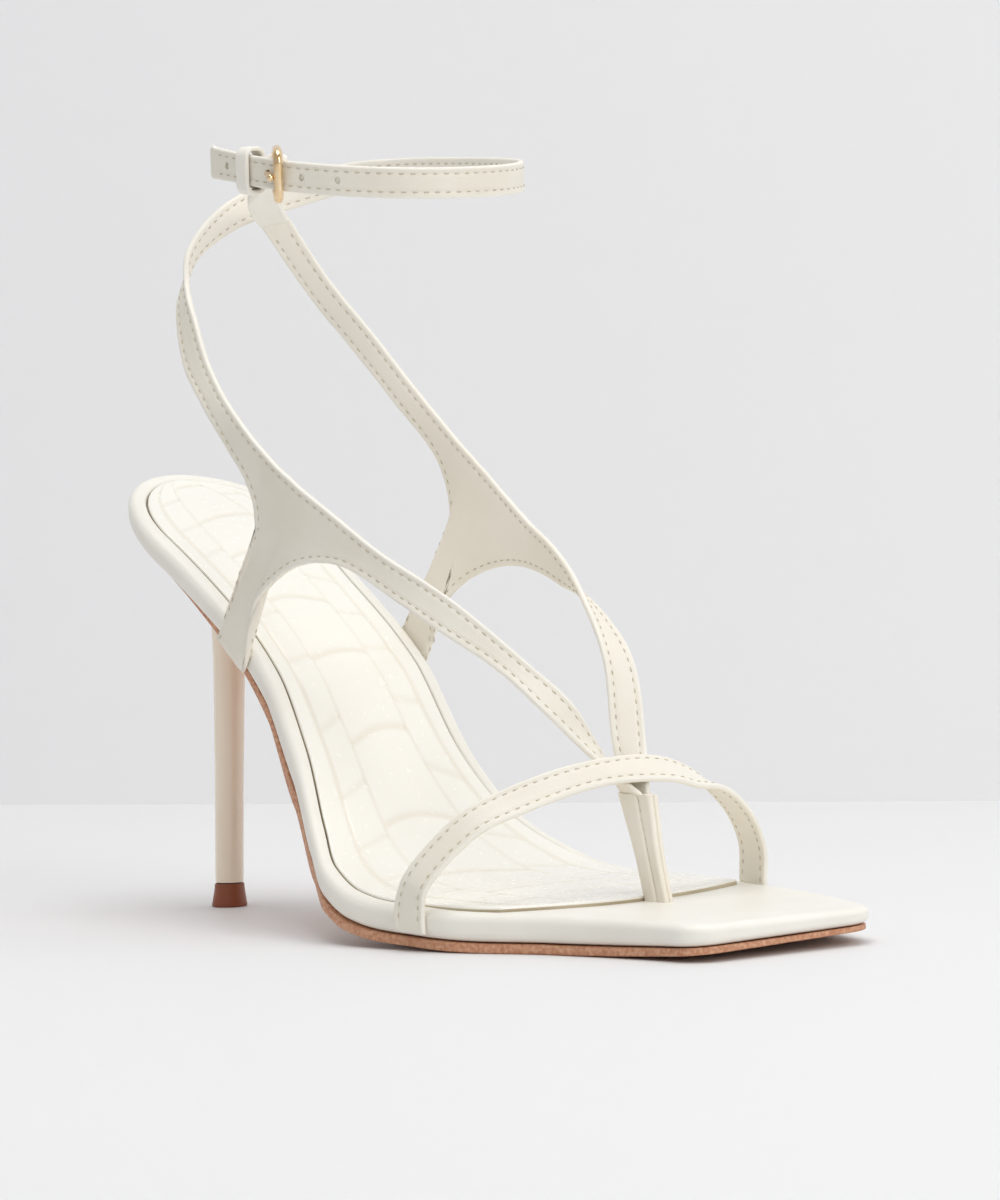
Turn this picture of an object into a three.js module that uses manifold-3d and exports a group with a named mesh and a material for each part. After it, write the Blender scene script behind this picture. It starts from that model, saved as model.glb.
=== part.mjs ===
// Strappy heeled sandal, right foot, in millimetres.
// The origin is on the floor under the heel tip's centre. +X runs to the toe, +Y to the
// inner (medial) side of the foot and +Z up. The outer (lateral) side is -Y.
import * as THREE from "three";
import { mergeVertices } from "three/addons/utils/BufferGeometryUtils.js";
import Module from "manifold-3d";

const wasm = await Module();
wasm.setup();

// Sizes of the sole
const LENGTH = 211.5; // heel's back to toe edge, along the floor
const HEEL_BACK = 19; // how far the heel seat reaches behind the heel tip's centre
const BALL_WIDTH = 88; // across the rim at the ball of the foot
const HEEL_HEIGHT = 104; // floor to the rim's top at the heel's back
const TOE_SPRING = 1.5; // rise of the sole's underside at the toe edge
const RIM_THICK = 6; // leather-wrapped platform under the insole
const OUTSOLE_THICK = 2.9;
const INSOLE_THICK = 1.7;
const INSOLE_INSET = 4.7; // rim left bare round the insole
const OUTSOLE_INSET = 0.7; // outsole stands back from the rim's side
const HEEL_ROUND = 26; // reach of the rounded heel end
const TOE_CORNER = 8; // radius of the square toe's corners
const EDGE_ROUND = 2.1; // rounded edge of the wrapped platform
const CLEAR = 0.3; // gap between pieces that lie on each other
const RECESS_CLEAR = 0.45; // gap round the insole in its recess

// Sizes of the heel
const LIFT_HEIGHT = 5.6;
const LIFT_FLOOR_WIDTH = 8.8; // top lift where it stands on the floor
const LIFT_TOP_WIDTH = 7.2;
const SHAFT_WIDTH = 6.8; // heel just above the top lift
const HEEL_RAKE = 2.6; // degrees, top in front of the tip

// Sizes of the straps
const STRAP_THICK = 1.4;
const STRAP_WIDTH = 7.3; // ankle strap
const LAST_ROUND = 85; // radius to which the straps bulge
const BULGE_SPAN = 15; // a wider stretch of strap bulges no more than this one
const ANKLE_LENGTH = 85; // ankle loop, back to front
const ANKLE_WIDTH = 61.5; // ankle loop, side to side
const HOLE_WIDTH = 1.6;
const HOLE_STEP = 7.8; // spacing of the five buckle holes

// Sizes of the buckle, keeper and thong
const BUCKLE_LENGTH = 8; // between the centres of its two bars
const BUCKLE_HEIGHT = 10.9; // between the centres of its top and bottom
const BUCKLE_WIRE = 1.9;
const BUCKLE_CORNER = 2.4;
const BUCKLE_TILT = 9; // degrees, its top turned towards the toe
const PRONG_WIRE = 1.2;
const KEEPER_WIDTH = 4;
const KEEPER_THICK = 1.1;
const THONG_LONG = 9.2; // folded post, heel to toe, at its top
const THONG_THICK = 3.7; // folded post, side to side, at its top

const HALF_BALL = BALL_WIDTH / 2;
const BASE = RIM_THICK + CLEAR + OUTSOLE_THICK; // rim's top where the sole lies on the floor
const RISE = HEEL_HEIGHT - BASE;
const TOE_X = LENGTH - HEEL_BACK;

const table = (columns, ...rows) =>
  rows.map((row) => Object.fromEntries(columns.map((name, i) => [name, row[i]])));

// Sole sections. at: share of LENGTH from the heel's back. rise: share of RISE.
// lateral, medial: shares of half the ball width, from the heel's centre line.
// sole: share of OUTSOLE_THICK, which thins out towards the heel seat.
const SOLE = table(
  ["at", "rise", "lateral", "medial", "sole"],
  [0.0, 1.0, 0.574, 0.612, 0.36],
  [0.09, 0.897, 0.574, 0.612, 0.36],
  [0.208, 0.736, 0.585, 0.53, 0.6],
  [0.326, 0.537, 0.648, 0.508, 0.92],
  [0.383, 0.364, 0.708, 0.504, 1.0],
  [0.444, 0.179, 0.844, 0.607, 1.0],
  [0.492, 0.086, 0.961, 0.756, 1.0],
  [0.539, 0.036, 0.992, 0.873, 1.0],
  [0.58, 0.0175, 0.98, 0.973, 1.0],
  [0.619, 0.0115, 0.959, 1.053, 1.0],
  [0.681, 0.003, 0.905, 1.083, 1.0],
  [0.73, 0.0, 0.801, 1.062, 1.0],
  [0.78, 0.0, 0.691, 1.029, 1.0],
  [0.82, 0.0, 0.641, 0.997, 1.0],
  [0.88, 0.0, 0.583, 0.925, 1.0],
  [0.95, 0.0, 0.542, 0.806, 1.0],
  [1.0, 0.0, 0.541, 0.704, 1.0]
);
const SPRING_FROM = 0.88; // share of LENGTH where the toe spring starts

// A curve through a table's column that never overshoots between its rows
function smooth(rows, column, at) {
  const last = rows.length - 1;
  const clamped = Math.min(Math.max(at, rows[0].at), rows[last].at);
  let i = 0;
  while (i < last - 1 && clamped > rows[i + 1].at) i += 1;
  const slope = (j) => {
    if (j < 0 || j >= last) return null;
    return (rows[j + 1][column] - rows[j][column]) / (rows[j + 1].at - rows[j].at);
  };
  const tangent = (j) => {
    const before = slope(j - 1);
    const after = slope(j);
    if (before === null) return after;
    if (after === null) return before;
    if (before * after <= 0) return 0;
    return (2 * before * after) / (before + after);
  };
  const step = rows[i + 1].at - rows[i].at;
  const t = (clamped - rows[i].at) / step;
  const t2 = t * t;
  const t3 = t2 * t;
  return (
    (2 * t3 - 3 * t2 + 1) * rows[i][column] +
    (t3 - 2 * t2 + t) * step * tangent(i) +
    (-2 * t3 + 3 * t2) * rows[i + 1][column] +
    (t3 - t2) * step * tangent(i + 1)
  );
}

// Height of the rim's top at x
function rimTop(x) {
  const at = (x + HEEL_BACK) / LENGTH;
  const spring = Math.max(0, (at - SPRING_FROM) / (1 - SPRING_FROM));
  return BASE + RISE * smooth(SOLE, "rise", at) + TOE_SPRING * spring * spring;
}

// A thickness square to the sole, measured straight down at x
function upright(x, thick) {
  const slope = (rimTop(x + 0.5) - rimTop(x - 0.5)) / 1;
  return thick * Math.hypot(1, slope);
}

// How much a rounded end or corner has drawn in, a distance from that end
const drawnIn = (distance, radius) =>
  distance >= radius ? 0 : radius - Math.sqrt(Math.max(0, radius ** 2 - (radius - distance) ** 2));

// Half width of the rim's outline at x, on one side (-1 lateral, 1 medial)
function halfWidth(x, side, inset = 0) {
  const at = (x + HEEL_BACK) / LENGTH;
  const wide = smooth(SOLE, side < 0 ? "lateral" : "medial", at) * HALF_BALL - inset;
  const back = Math.min(1, Math.max(0, (HEEL_ROUND - x - HEEL_BACK) / (HEEL_ROUND - inset)));
  const corner = drawnIn(TOE_X - inset - x, TOE_CORNER);
  return Math.max(0.4, wide * Math.sqrt(1 - back * back) - corner);
}

// Places along a slab: close together at the rounded heel and the toe corners
function placesAlong(from, to, frontRound) {
  const places = [0.002, 0.03, 0.1, 0.22, 0.38, 0.6].map((s) => from + s * HEEL_ROUND);
  const start = from + HEEL_ROUND;
  const steps = 24;
  for (let i = 0; i <= steps; i += 1) places.push(start + ((to - frontRound - start) * i) / steps);
  for (const s of [0.35, 0.65, 0.85, 0.96, 1]) places.push(to - frontRound * (1 - s));
  return places;
}

// Skins a run of closed rings. Each ring is an upper chain of points followed by a lower
// chain in reverse, so that the two ends can be closed between the chains.
function skin(rings, joined = false) {
  const count = rings[0].length;
  const positions = rings.flat().flatMap((p) => [p.x, p.y, p.z]);
  const index = [];
  const quad = (a, b, c, d) => index.push(a, b, c, a, c, d);
  const laps = joined ? rings.length : rings.length - 1;
  for (let r = 0; r < laps; r += 1) {
    const next = (r + 1) % rings.length;
    for (let i = 0; i < count; i += 1) {
      const j = (i + 1) % count;
      quad(r * count + i, r * count + j, next * count + j, next * count + i);
    }
  }
  if (!joined) {
    const lastRing = (rings.length - 1) * count;
    for (let i = 0; i < count / 2 - 1; i += 1) {
      const k = count - 1 - i;
      quad(i, k, k - 1, i + 1);
      quad(lastRing + i, lastRing + i + 1, lastRing + k - 1, lastRing + k);
    }
  }
  const geometry = new THREE.BufferGeometry();
  geometry.setAttribute("position", new THREE.Float32BufferAttribute(positions, 3));
  geometry.setIndex(index);
  return outward(geometry);
}

// Turns a closed surface's triangles to face outwards
function outward(geometry) {
  const p = geometry.getAttribute("position");
  const index = geometry.getIndex().array;
  const [a, b, c] = [new THREE.Vector3(), new THREE.Vector3(), new THREE.Vector3()];
  let volume = 0;
  for (let i = 0; i < index.length; i += 3) {
    a.fromBufferAttribute(p, index[i]);
    b.fromBufferAttribute(p, index[i + 1]);
    c.fromBufferAttribute(p, index[i + 2]);
    volume += a.dot(b.cross(c));
  }
  if (volume < 0) {
    for (let i = 0; i < index.length; i += 3) {
      [index[i + 1], index[i + 2]] = [index[i + 2], index[i + 1]];
    }
  }
  return geometry;
}

// Solids for joining and cutting
function solidOf(geometry) {
  const bare = new THREE.BufferGeometry();
  bare.setAttribute("position", geometry.getAttribute("position").clone());
  if (geometry.getIndex()) bare.setIndex(geometry.getIndex().clone());
  const merged = mergeVertices(bare, 1e-4);
  return new wasm.Manifold(
    new wasm.Mesh({
      numProp: 3,
      vertProperties: new Float32Array(merged.getAttribute("position").array),
      triVerts: new Uint32Array(merged.getIndex().array),
    })
  );
}

function geometryOf(solid) {
  const mesh = solid.getMesh();
  const geometry = new THREE.BufferGeometry();
  geometry.setAttribute("position", new THREE.Float32BufferAttribute(mesh.vertProperties, 3));
  geometry.setIndex(Array.from(mesh.triVerts));
  return geometry;
}

// A layer of the sole. half(x, side) is its outline, low(x) and high(x) its two faces.
function slab({ places, half, low, high, round, backRound, frontRound }) {
  const from = places[0];
  const to = places[places.length - 1];
  const rings = places.map((x) => {
    const thick = high(x) - low(x);
    const most = Math.min(round, thick * 0.45);
    const ends = drawnIn(x - from + 0.02, backRound) + drawnIn(to - x + 0.02, frontRound);
    const cut = Math.min(ends, thick * 0.3);
    const bottom = low(x) + cut;
    const top = high(x) - cut;
    const chain = (face, inward) => {
      const points = [];
      const add = (y) => points.push(new THREE.Vector3(x, y, 0));
      const put = (y, z) => points.push(new THREE.Vector3(x, y, z));
      const left = half(x, -1);
      const right = half(x, 1);
      const r = Math.min(most, (left + right) * 0.22);
      for (const a of [0, 45, 90]) {
        const turn = THREE.MathUtils.degToRad(a);
        put(-left + r * (1 - Math.cos(turn)), face + inward * r * (1 - Math.sin(turn)));
      }
      for (const s of [0.25, 0.5, 0.75]) {
        add(-left + r + s * (left + right - 2 * r));
        points[points.length - 1].z = face;
      }
      for (const a of [90, 45, 0]) {
        const turn = THREE.MathUtils.degToRad(a);
        put(right - r * (1 - Math.cos(turn)), face + inward * r * (1 - Math.sin(turn)));
      }
      return points;
    };
    return [...chain(top, -1), ...chain(bottom, 1).reverse()];
  });
  return skin(rings);
}

// Where the insole ends behind the thong: a bowed edge, further forward in the middle
const INSOLE_SIDE_END = 0.724; // share of LENGTH at the sides
const INSOLE_BOW = 9.5;

function insoleHalf(grow) {
  return (x, side) => {
    const sideEnd = INSOLE_SIDE_END * LENGTH - HEEL_BACK + grow;
    const left = Math.min(1, Math.max(0, (x - sideEnd) / INSOLE_BOW));
    return Math.max(0.3 + grow, halfWidth(x, side, INSOLE_INSET - grow) * Math.sqrt(1 - left));
  };
}

function insolePlaces(grow) {
  const from = -HEEL_BACK + INSOLE_INSET - grow;
  const sideEnd = INSOLE_SIDE_END * LENGTH - HEEL_BACK + grow;
  const places = placesAlong(from, sideEnd, 1).slice(0, -5);
  for (const s of [0, 0.12, 0.3, 0.5, 0.7, 0.86, 0.96, 1]) places.push(sideEnd + s * INSOLE_BOW);
  return places;
}

const rimLow = (x) => rimTop(x) - upright(x, RIM_THICK);
const outsoleHigh = (x) => rimTop(x) - upright(x, RIM_THICK + CLEAR);
const soleShare = (x) => smooth(SOLE, "sole", (x + HEEL_BACK) / LENGTH);
const outsoleLow = (x) => outsoleHigh(x) - upright(x, OUTSOLE_THICK * soleShare(x));
const insoleLow = (x) => rimTop(x) - upright(x, INSOLE_THICK);

function makeRim() {
  const body = slab({
    places: placesAlong(-HEEL_BACK, TOE_X, TOE_CORNER),
    half: halfWidth,
    low: rimLow,
    high: rimTop,
    round: EDGE_ROUND,
    backRound: EDGE_ROUND,
    frontRound: EDGE_ROUND,
  });
  const recess = slab({
    places: insolePlaces(RECESS_CLEAR),
    half: insoleHalf(RECESS_CLEAR),
    low: (x) => insoleLow(x) - upright(x, CLEAR),
    high: (x) => rimTop(x) + 8,
    round: 0.01,
    backRound: 0.01,
    frontRound: 0.01,
  });
  return geometryOf(solidOf(body).subtract(solidOf(recess)));
}

function makeInsole() {
  return slab({
    places: insolePlaces(0),
    half: insoleHalf(0),
    low: insoleLow,
    high: (x) => rimTop(x),
    round: 0.6,
    backRound: 0.5,
    frontRound: 0.5,
  });
}

function makeOutsole() {
  const inset = (x) => OUTSOLE_INSET + OUTSOLE_THICK * (1 - soleShare(x)) * 0.8;
  return slab({
    places: placesAlong(-HEEL_BACK + inset(-HEEL_BACK), TOE_X - OUTSOLE_INSET, TOE_CORNER),
    half: (x, side) => halfWidth(x, side, inset(x)),
    low: outsoleLow,
    high: outsoleHigh,
    round: 0.5,
    backRound: 0.5,
    frontRound: 0.5,
  });
}

// Heel sections, from the top lift to the seat. up: share of the height at each point,
// so that the top follows the sole's slope. back, front, side: shares of SHAFT_WIDTH.
const HEEL = table(
  ["up", "back", "front", "side"],
  [0.0, 0.5, 0.5, 0.5],
  [0.35, 0.52, 0.52, 0.52],
  [0.62, 0.555, 0.555, 0.555],
  [0.78, 0.64, 0.61, 0.61],
  [0.88, 0.95, 0.8, 0.82],
  [0.94, 1.45, 1.15, 1.25],
  [1.0, 2.35, 1.75, 2.0]
);

function ovalRing(centre, back, front, side, height) {
  const points = [];
  const around = 16;
  for (let i = 0; i < around; i += 1) {
    const turn = (Math.PI * 2 * (i + 0.5)) / around;
    const c = Math.cos(turn);
    const x = centre + c * (c > 0 ? front : back);
    points.push(new THREE.Vector3(x, Math.sin(turn) * side, height(x)));
  }
  return points;
}

function makeHeel() {
  const start = LIFT_HEIGHT + CLEAR;
  const lean = Math.tan(THREE.MathUtils.degToRad(HEEL_RAKE));
  const rings = HEEL.map((row) => {
    const centre = lean * (start + row.up * (outsoleLow(0) - start));
    const height = (x) => start + row.up * (outsoleLow(x) - CLEAR - start);
    const size = (share) => share * SHAFT_WIDTH;
    return ovalRing(centre, size(row.back), size(row.front), size(row.side), height);
  });
  return skin(rings);
}

function makeTopLift() {
  const lean = Math.tan(THREE.MathUtils.degToRad(HEEL_RAKE));
  const rings = [
    [0, LIFT_FLOOR_WIDTH - 0.6],
    [0.05, LIFT_FLOOR_WIDTH],
    [0.35, (LIFT_FLOOR_WIDTH + LIFT_TOP_WIDTH) / 2],
    [0.95, LIFT_TOP_WIDTH],
    [1, LIFT_TOP_WIDTH - 0.3],
  ].map(([up, wide]) => {
    const z = up * LIFT_HEIGHT;
    return ovalRing(lean * z, wide / 2, wide / 2, wide / 2, () => z);
  });
  return skin(rings);
}

// Strap rows. Each row is one section of a strap: its upper edge (hi) and its lower
// edge (lo). X: share of LENGTH from the heel's back. Y: share of half the ball width.
// Z: share of RISE above the toe's rim. A row without loY and loZ ends beside the rim,
// where the strap's tab is tucked between rim and outsole.
const EDGES = ["hiX", "hiY", "hiZ", "loX", "loY", "loZ"];

// Outer side strap, from the thong up over the side panel to the back of the ankle
const LATERAL_STRAP = table(
  EDGES,
  [0.739, 0.111, 0.267, 0.774, 0.111, 0.267],
  [0.703, 0.105, 0.358, 0.721, -0.032, 0.352],
  [0.7, -0.06, 0.476, 0.692, -0.244, 0.467],
  [0.671, -0.226, 0.575, 0.653, -0.365, 0.561],
  [0.607, -0.429, 0.72, 0.589, -0.525, 0.663],
  [0.568, -0.466, 0.769, 0.536, -0.552, 0.722],
  [0.51, -0.56, 0.845, 0.457, -0.633, 0.812],
  [0.455, -0.621, 0.927, 0.398, -0.67, 0.81],
  [0.425, -0.646, 0.97, 0.352, -0.68, 0.762],
  [0.405, -0.66, 0.997, 0.313, -0.665, 0.69],
  [0.392, -0.666, 1.016, 0.287],
  [0.384, -0.67, 1.028, 0.239],
  [0.369, -0.676, 1.05, 0.2735, -0.635, 0.722],
  [0.356, -0.678, 1.071, 0.3085, -0.652, 0.826],
  [0.346, -0.679, 1.087, 0.3225, -0.663, 0.928],
  [0.334, -0.68, 1.108, 0.3125, -0.677, 1.011],
  [0.318, -0.68, 1.138, 0.28, -0.684, 1.1],
  [0.278, -0.654, 1.211, 0.244, -0.687, 1.193],
  [0.234, -0.6, 1.304, 0.201, -0.634, 1.283],
  [0.207, -0.561, 1.394, 0.172, -0.557, 1.378],
  [0.187, -0.525, 1.452, 0.154, -0.481, 1.435],
  [0.167, -0.467, 1.495, 0.14, -0.372, 1.487],
  [0.151, -0.397, 1.56, 0.132, -0.267, 1.54],
  [0.134, -0.188, 1.638, 0.128, -0.056, 1.595],
  [0.126, 0.083, 1.7, 0.135, 0.158, 1.633]
);

// The same strap round the ankle. turn: degrees round the loop, from the front, with
// the inner side at 90. Z: share of RISE, at the strap's middle.
const ANKLE_LOOP = table(
  ["turn", "Z"],
  [157, 1.7],
  [135, 1.73],
  [112, 1.74],
  [88, 1.743],
  [62, 1.743],
  [38, 1.741],
  [15, 1.738],
  [-8, 1.738],
  [-32, 1.742],
  [-55, 1.75]
);
const ANKLE_CENTRE = { x: 0.317, y: 0.108 }; // shares of LENGTH and of half the ball width
const ANKLE_BACK_SHARE = 0.459; // of the loop's length, behind its centre
const ANKLE_SQUARENESS = 2.3; // 2 is an ellipse

// The ends that meet at the buckle, as shares, and the share of the strap's width.
const FREE_END = table(
  ["X", "Y", "Z", "wide"],
  [0.375, -0.593, 1.764, 1],
  [0.3475, -0.614, 1.7715, 1],
  [0.3177, -0.6205, 1.779, 1],
  [0.288, -0.6205, 1.788, 1],
  [0.265, -0.614, 1.794, 1.03],
  [0.256, -0.607, 1.797, 1.03],
  [0.2525, -0.603, 1.798, 0.7]
);
const BUCKLE_END = table(
  ["X", "Y", "Z", "wide"],
  [0.2885, -0.5136, 1.765, 1],
  [0.303, -0.572, 1.77, 1],
  [0.3177, -0.582, 1.774, 1],
  [0.336, -0.575, 1.77, 1]
);

// Inner side strap, from the thong up over the side panel to the back of the ankle
const MEDIAL_STRAP = table(
  EDGES,
  [0.739, 0.139, 0.267, 0.774, 0.139, 0.267],
  [0.714, 0.151, 0.364, 0.738, 0.285, 0.362],
  [0.687, 0.222, 0.565, 0.697, 0.384, 0.57],
  [0.631, 0.347, 0.696, 0.609, 0.471, 0.705],
  [0.577, 0.472, 0.778, 0.552, 0.528, 0.733],
  [0.54, 0.506, 0.835, 0.518, 0.549, 0.757],
  [0.49, 0.566, 0.885, 0.462, 0.6, 0.773],
  [0.452, 0.609, 0.93, 0.405, 0.627, 0.758],
  [0.425, 0.634, 0.965, 0.365, 0.61, 0.72],
  [0.405, 0.649, 0.993, 0.331, 0.57, 0.644],
  [0.396, 0.655, 1.006, 0.307],
  [0.39, 0.658, 1.014, 0.268],
  [0.378, 0.665, 1.031, 0.302, 0.6, 0.702],
  [0.366, 0.67, 1.048, 0.329, 0.645, 0.804],
  [0.356, 0.674, 1.063, 0.334, 0.668, 0.897],
  [0.345, 0.677, 1.08, 0.311, 0.678, 1.026],
  [0.28, 0.653, 1.21, 0.252, 0.62, 1.171],
  [0.225, 0.607, 1.338, 0.197, 0.575, 1.297],
  [0.177, 0.49, 1.481, 0.15, 0.46, 1.437],
  [0.1678, 0.264, 1.6372, 0.1418, 0.163, 1.6228],
  [0.1962, 0.099, 1.6703, 0.1702, -0.021, 1.6663],
  [0.2317, -0.076, 1.7046, 0.208, -0.188, 1.6979],
  [0.266, -0.29, 1.773, 0.249, -0.31, 1.716]
);

// Toe strap, from the outer to the inner side; hi is its edge towards the ankle
const TOE_STRAP = table(
  EDGES,
  [0.633, -0.975, 0.092, 0.664, -0.957, 0.052],
  [0.666, -0.746, 0.227, 0.694, -0.725, 0.18],
  [0.682, -0.583, 0.27, 0.715, -0.525, 0.225],
  [0.718, -0.198, 0.335, 0.75, -0.073, 0.288],
  [0.74, 0.263, 0.349, 0.778, 0.284, 0.292],
  [0.743, 0.497, 0.324, 0.779, 0.459, 0.263],
  [0.731, 0.745, 0.266, 0.772, 0.673, 0.22],
  [0.714, 0.915, 0.19, 0.762, 0.925, 0.145],
  [0.704, 1.085, 0.101, 0.741, 1.07, 0.083]
);
const TOE_SEATS = { lateral: [0.6175, 0.658], medial: [0.702, 0.74] }; // shares of LENGTH
const SEAT_DEPTH = 0.8; // share of the rim's thickness that a tab covers

const toX = (share) => share * LENGTH - HEEL_BACK;
const toPoint = (x, y, z) => new THREE.Vector3(toX(x), y * HALF_BALL, BASE + z * RISE);

// A point of a strap's middle layer beside the rim, some way down the rim's side
function besideRim(x, side, depth) {
  const y = side * (halfWidth(x, side) + CLEAR + STRAP_THICK / 2);
  return new THREE.Vector3(x, y, rimTop(x) - upright(x, RIM_THICK * depth));
}

function edgeRows(rows, side) {
  return rows.map((row) => {
    const seated = row.loY === undefined;
    const lo = seated
      ? besideRim(toX(row.loX), side, SEAT_DEPTH)
      : toPoint(row.loX, row.loY, row.loZ);
    return { hi: toPoint(row.hiX, row.hiY, row.hiZ), lo, corner: seated };
  });
}

function standingRow(x, y, z, wide) {
  const hi = new THREE.Vector3(x, y, z + wide / 2);
  const lo = new THREE.Vector3(x, y, z - wide / 2);
  return { hi, lo, corner: false };
}

function endRows(rows) {
  return rows.map((row) => {
    const p = toPoint(row.X, row.Y, row.Z);
    return standingRow(p.x, p.y, p.z, row.wide * STRAP_WIDTH);
  });
}

function ankleRows() {
  const power = 2 / ANKLE_SQUARENESS;
  const spread = (value) => Math.sign(value) * Math.abs(value) ** power;
  return ANKLE_LOOP.map((row) => {
    const turn = THREE.MathUtils.degToRad(row.turn);
    const c = Math.cos(turn);
    const reach = ANKLE_LENGTH * (c < 0 ? ANKLE_BACK_SHARE : 1 - ANKLE_BACK_SHARE);
    const x = toX(ANKLE_CENTRE.x) + reach * spread(c);
    const y = ANKLE_CENTRE.y * HALF_BALL + (ANKLE_WIDTH / 2) * spread(Math.sin(turn));
    return standingRow(x, y, BASE + row.Z * RISE, STRAP_WIDTH);
  });
}

// A strap as a thin curved wall through its rows. The lower edge keeps its corners.
// side is 1 if the strap runs from toe to heel on the inner side, or from outer to inner
// side over the toes, and -1 if it runs from toe to heel on the outer side.
function strap(rows, { side, finer = 2, across = 3 }) {
  const upper = new THREE.CatmullRomCurve3(rows.map((row) => row.hi), false, "centripetal");
  const stops = [0, rows.length - 1];
  rows.forEach((row, i) => {
    if (row.corner) stops.push(i);
  });
  stops.sort((a, b) => a - b);
  const runs = stops.slice(1).map((end, i) => {
    const start = stops[i];
    const points = rows.slice(start, end + 1).map((row) => row.lo);
    return { start, end, curve: new THREE.CatmullRomCurve3(points, false, "centripetal") };
  });
  const middle = [];
  const total = (rows.length - 1) * finer;
  for (let s = 0; s <= total; s += 1) {
    const at = s / finer;
    const run = runs.find((r) => at <= r.end + 1e-9) ?? runs[runs.length - 1];
    const hi = upper.getPoint(at / (rows.length - 1));
    const lo = run.curve.getPoint(Math.min(1, (at - run.start) / (run.end - run.start)));
    middle.push({ hi, lo });
  }
  const gap = (i) => middle[Math.min(total, i + 1)].hi.clone().sub(middle[Math.max(0, i - 1)].hi);
  const grid = middle.map(({ hi, lo }, i) => {
    const span = hi.clone().sub(lo);
    const out = gap(i).cross(span).multiplyScalar(side).normalize();
    const sag = Math.min(span.length(), BULGE_SPAN) ** 2 / (8 * LAST_ROUND);
    const row = [];
    for (let k = 0; k <= across; k += 1) {
      const t = k / across;
      row.push(hi.clone().lerp(lo, t).addScaledVector(out, sag * 4 * t * (1 - t)));
    }
    return row;
  });
  const normals = grid.map((row) => row.map(() => new THREE.Vector3()));
  for (let i = 0; i < total; i += 1) {
    for (let k = 0; k < across; k += 1) {
      const [a, b, c, d] = [grid[i][k], grid[i][k + 1], grid[i + 1][k + 1], grid[i + 1][k]];
      const facing = c.clone().sub(a).cross(b.clone().sub(d)).multiplyScalar(-side);
      for (const n of [normals[i][k], normals[i][k + 1], normals[i + 1][k + 1], normals[i + 1][k]]) {
        n.add(facing);
      }
    }
  }
  normals.flat().forEach((n) => n.normalize());
  const rings = grid.map((row, i) => {
    const wall = (way) => row.map((p, k) => p.clone().addScaledVector(normals[i][k], way));
    return [...wall(STRAP_THICK / 2), ...wall(-STRAP_THICK / 2).reverse()];
  });
  const line = grid.map((row, i) => ({
    point: row[0].clone().add(row[across]).multiplyScalar(0.5),
    out: normals[i][1],
  }));
  return { geometry: skin(rings), line };
}

// A round rod or tube along a few points
function rod(points, radius, around = 8) {
  const rings = points.map((p, i) => {
    const before = points[Math.max(0, i - 1)];
    const after = points[Math.min(points.length - 1, i + 1)];
    const ahead = after.clone().sub(before).normalize();
    const up = new THREE.Vector3(0, 0, 1);
    if (Math.abs(ahead.z) > 0.9) up.set(1, 0, 0);
    const across = ahead.clone().cross(up).normalize();
    const raised = across.clone().cross(ahead);
    return Array.from({ length: around }, (_, k) => {
      const turn = (Math.PI * 2 * (k + 0.5)) / around;
      const place = p.clone().addScaledVector(across, radius * Math.cos(turn));
      return place.addScaledVector(raised, radius * Math.sin(turn));
    });
  });
  return skin(rings);
}

const hingeTube = (radius, height) =>
  rod([inBuckle(0, 0, -height / 2), inBuckle(0, 0, height / 2)], radius, 14);

// The buckle stands beside the outer ankle. Its hinge bar is behind the strap that
// comes through, and its front bar lies over it.
const FREE_AT = (i) => toPoint(FREE_END[i].X, FREE_END[i].Y, FREE_END[i].Z);
const SLEEVE_INNER = BUCKLE_WIRE / 2 + CLEAR;
const SLEEVE_OUTER = SLEEVE_INNER + STRAP_THICK - 0.1;
const HINGE = FREE_AT(1).add(new THREE.Vector3(-0.3, STRAP_THICK / 2 + CLEAR + SLEEVE_OUTER, 0.3));
const FRONT_LEAP = STRAP_THICK / 2 + 2 * CLEAR + BUCKLE_WIRE / 2; // front bar outside the strap
const TURNED = Math.asin((HINGE.y - FREE_AT(0).y + FRONT_LEAP) / BUCKLE_LENGTH);
const LEANT = THREE.MathUtils.degToRad(BUCKLE_TILT);
const buckleFrame = new THREE.Matrix4()
  .makeRotationZ(-TURNED)
  .multiply(new THREE.Matrix4().makeRotationY(LEANT));
const buckleWay = (x, y, z) => new THREE.Vector3(x, y, z).applyMatrix4(buckleFrame);
const inBuckle = (x, y, z) => buckleWay(x, y, z).add(HINGE); // from its hinge bar's centre

function makeBuckle() {
  const path = [];
  const corners = [[1, 1, 0], [-1, 1, 90], [-1, -1, 180], [1, -1, 270]];
  for (const [sx, sz, from] of corners) {
    for (const a of [0, 30, 60, 90]) {
      const turn = THREE.MathUtils.degToRad(from + a);
      const u = sx * (BUCKLE_LENGTH / 2 - BUCKLE_CORNER) + BUCKLE_CORNER * Math.cos(turn);
      const w = sz * (BUCKLE_HEIGHT / 2 - BUCKLE_CORNER) + BUCKLE_CORNER * Math.sin(turn);
      path.push({ u: u + BUCKLE_LENGTH / 2, w, turn });
    }
  }
  const rings = path.map(({ u, w, turn }) =>
    Array.from({ length: 8 }, (_, k) => {
      const a = (Math.PI * 2 * (k + 0.5)) / 8;
      const out = (BUCKLE_WIRE / 2) * Math.cos(a);
      const aside = (BUCKLE_WIRE / 2) * Math.sin(a);
      return inBuckle(u + out * Math.cos(turn), aside, w + out * Math.sin(turn));
    })
  );
  return skin(rings, true);
}

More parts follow.
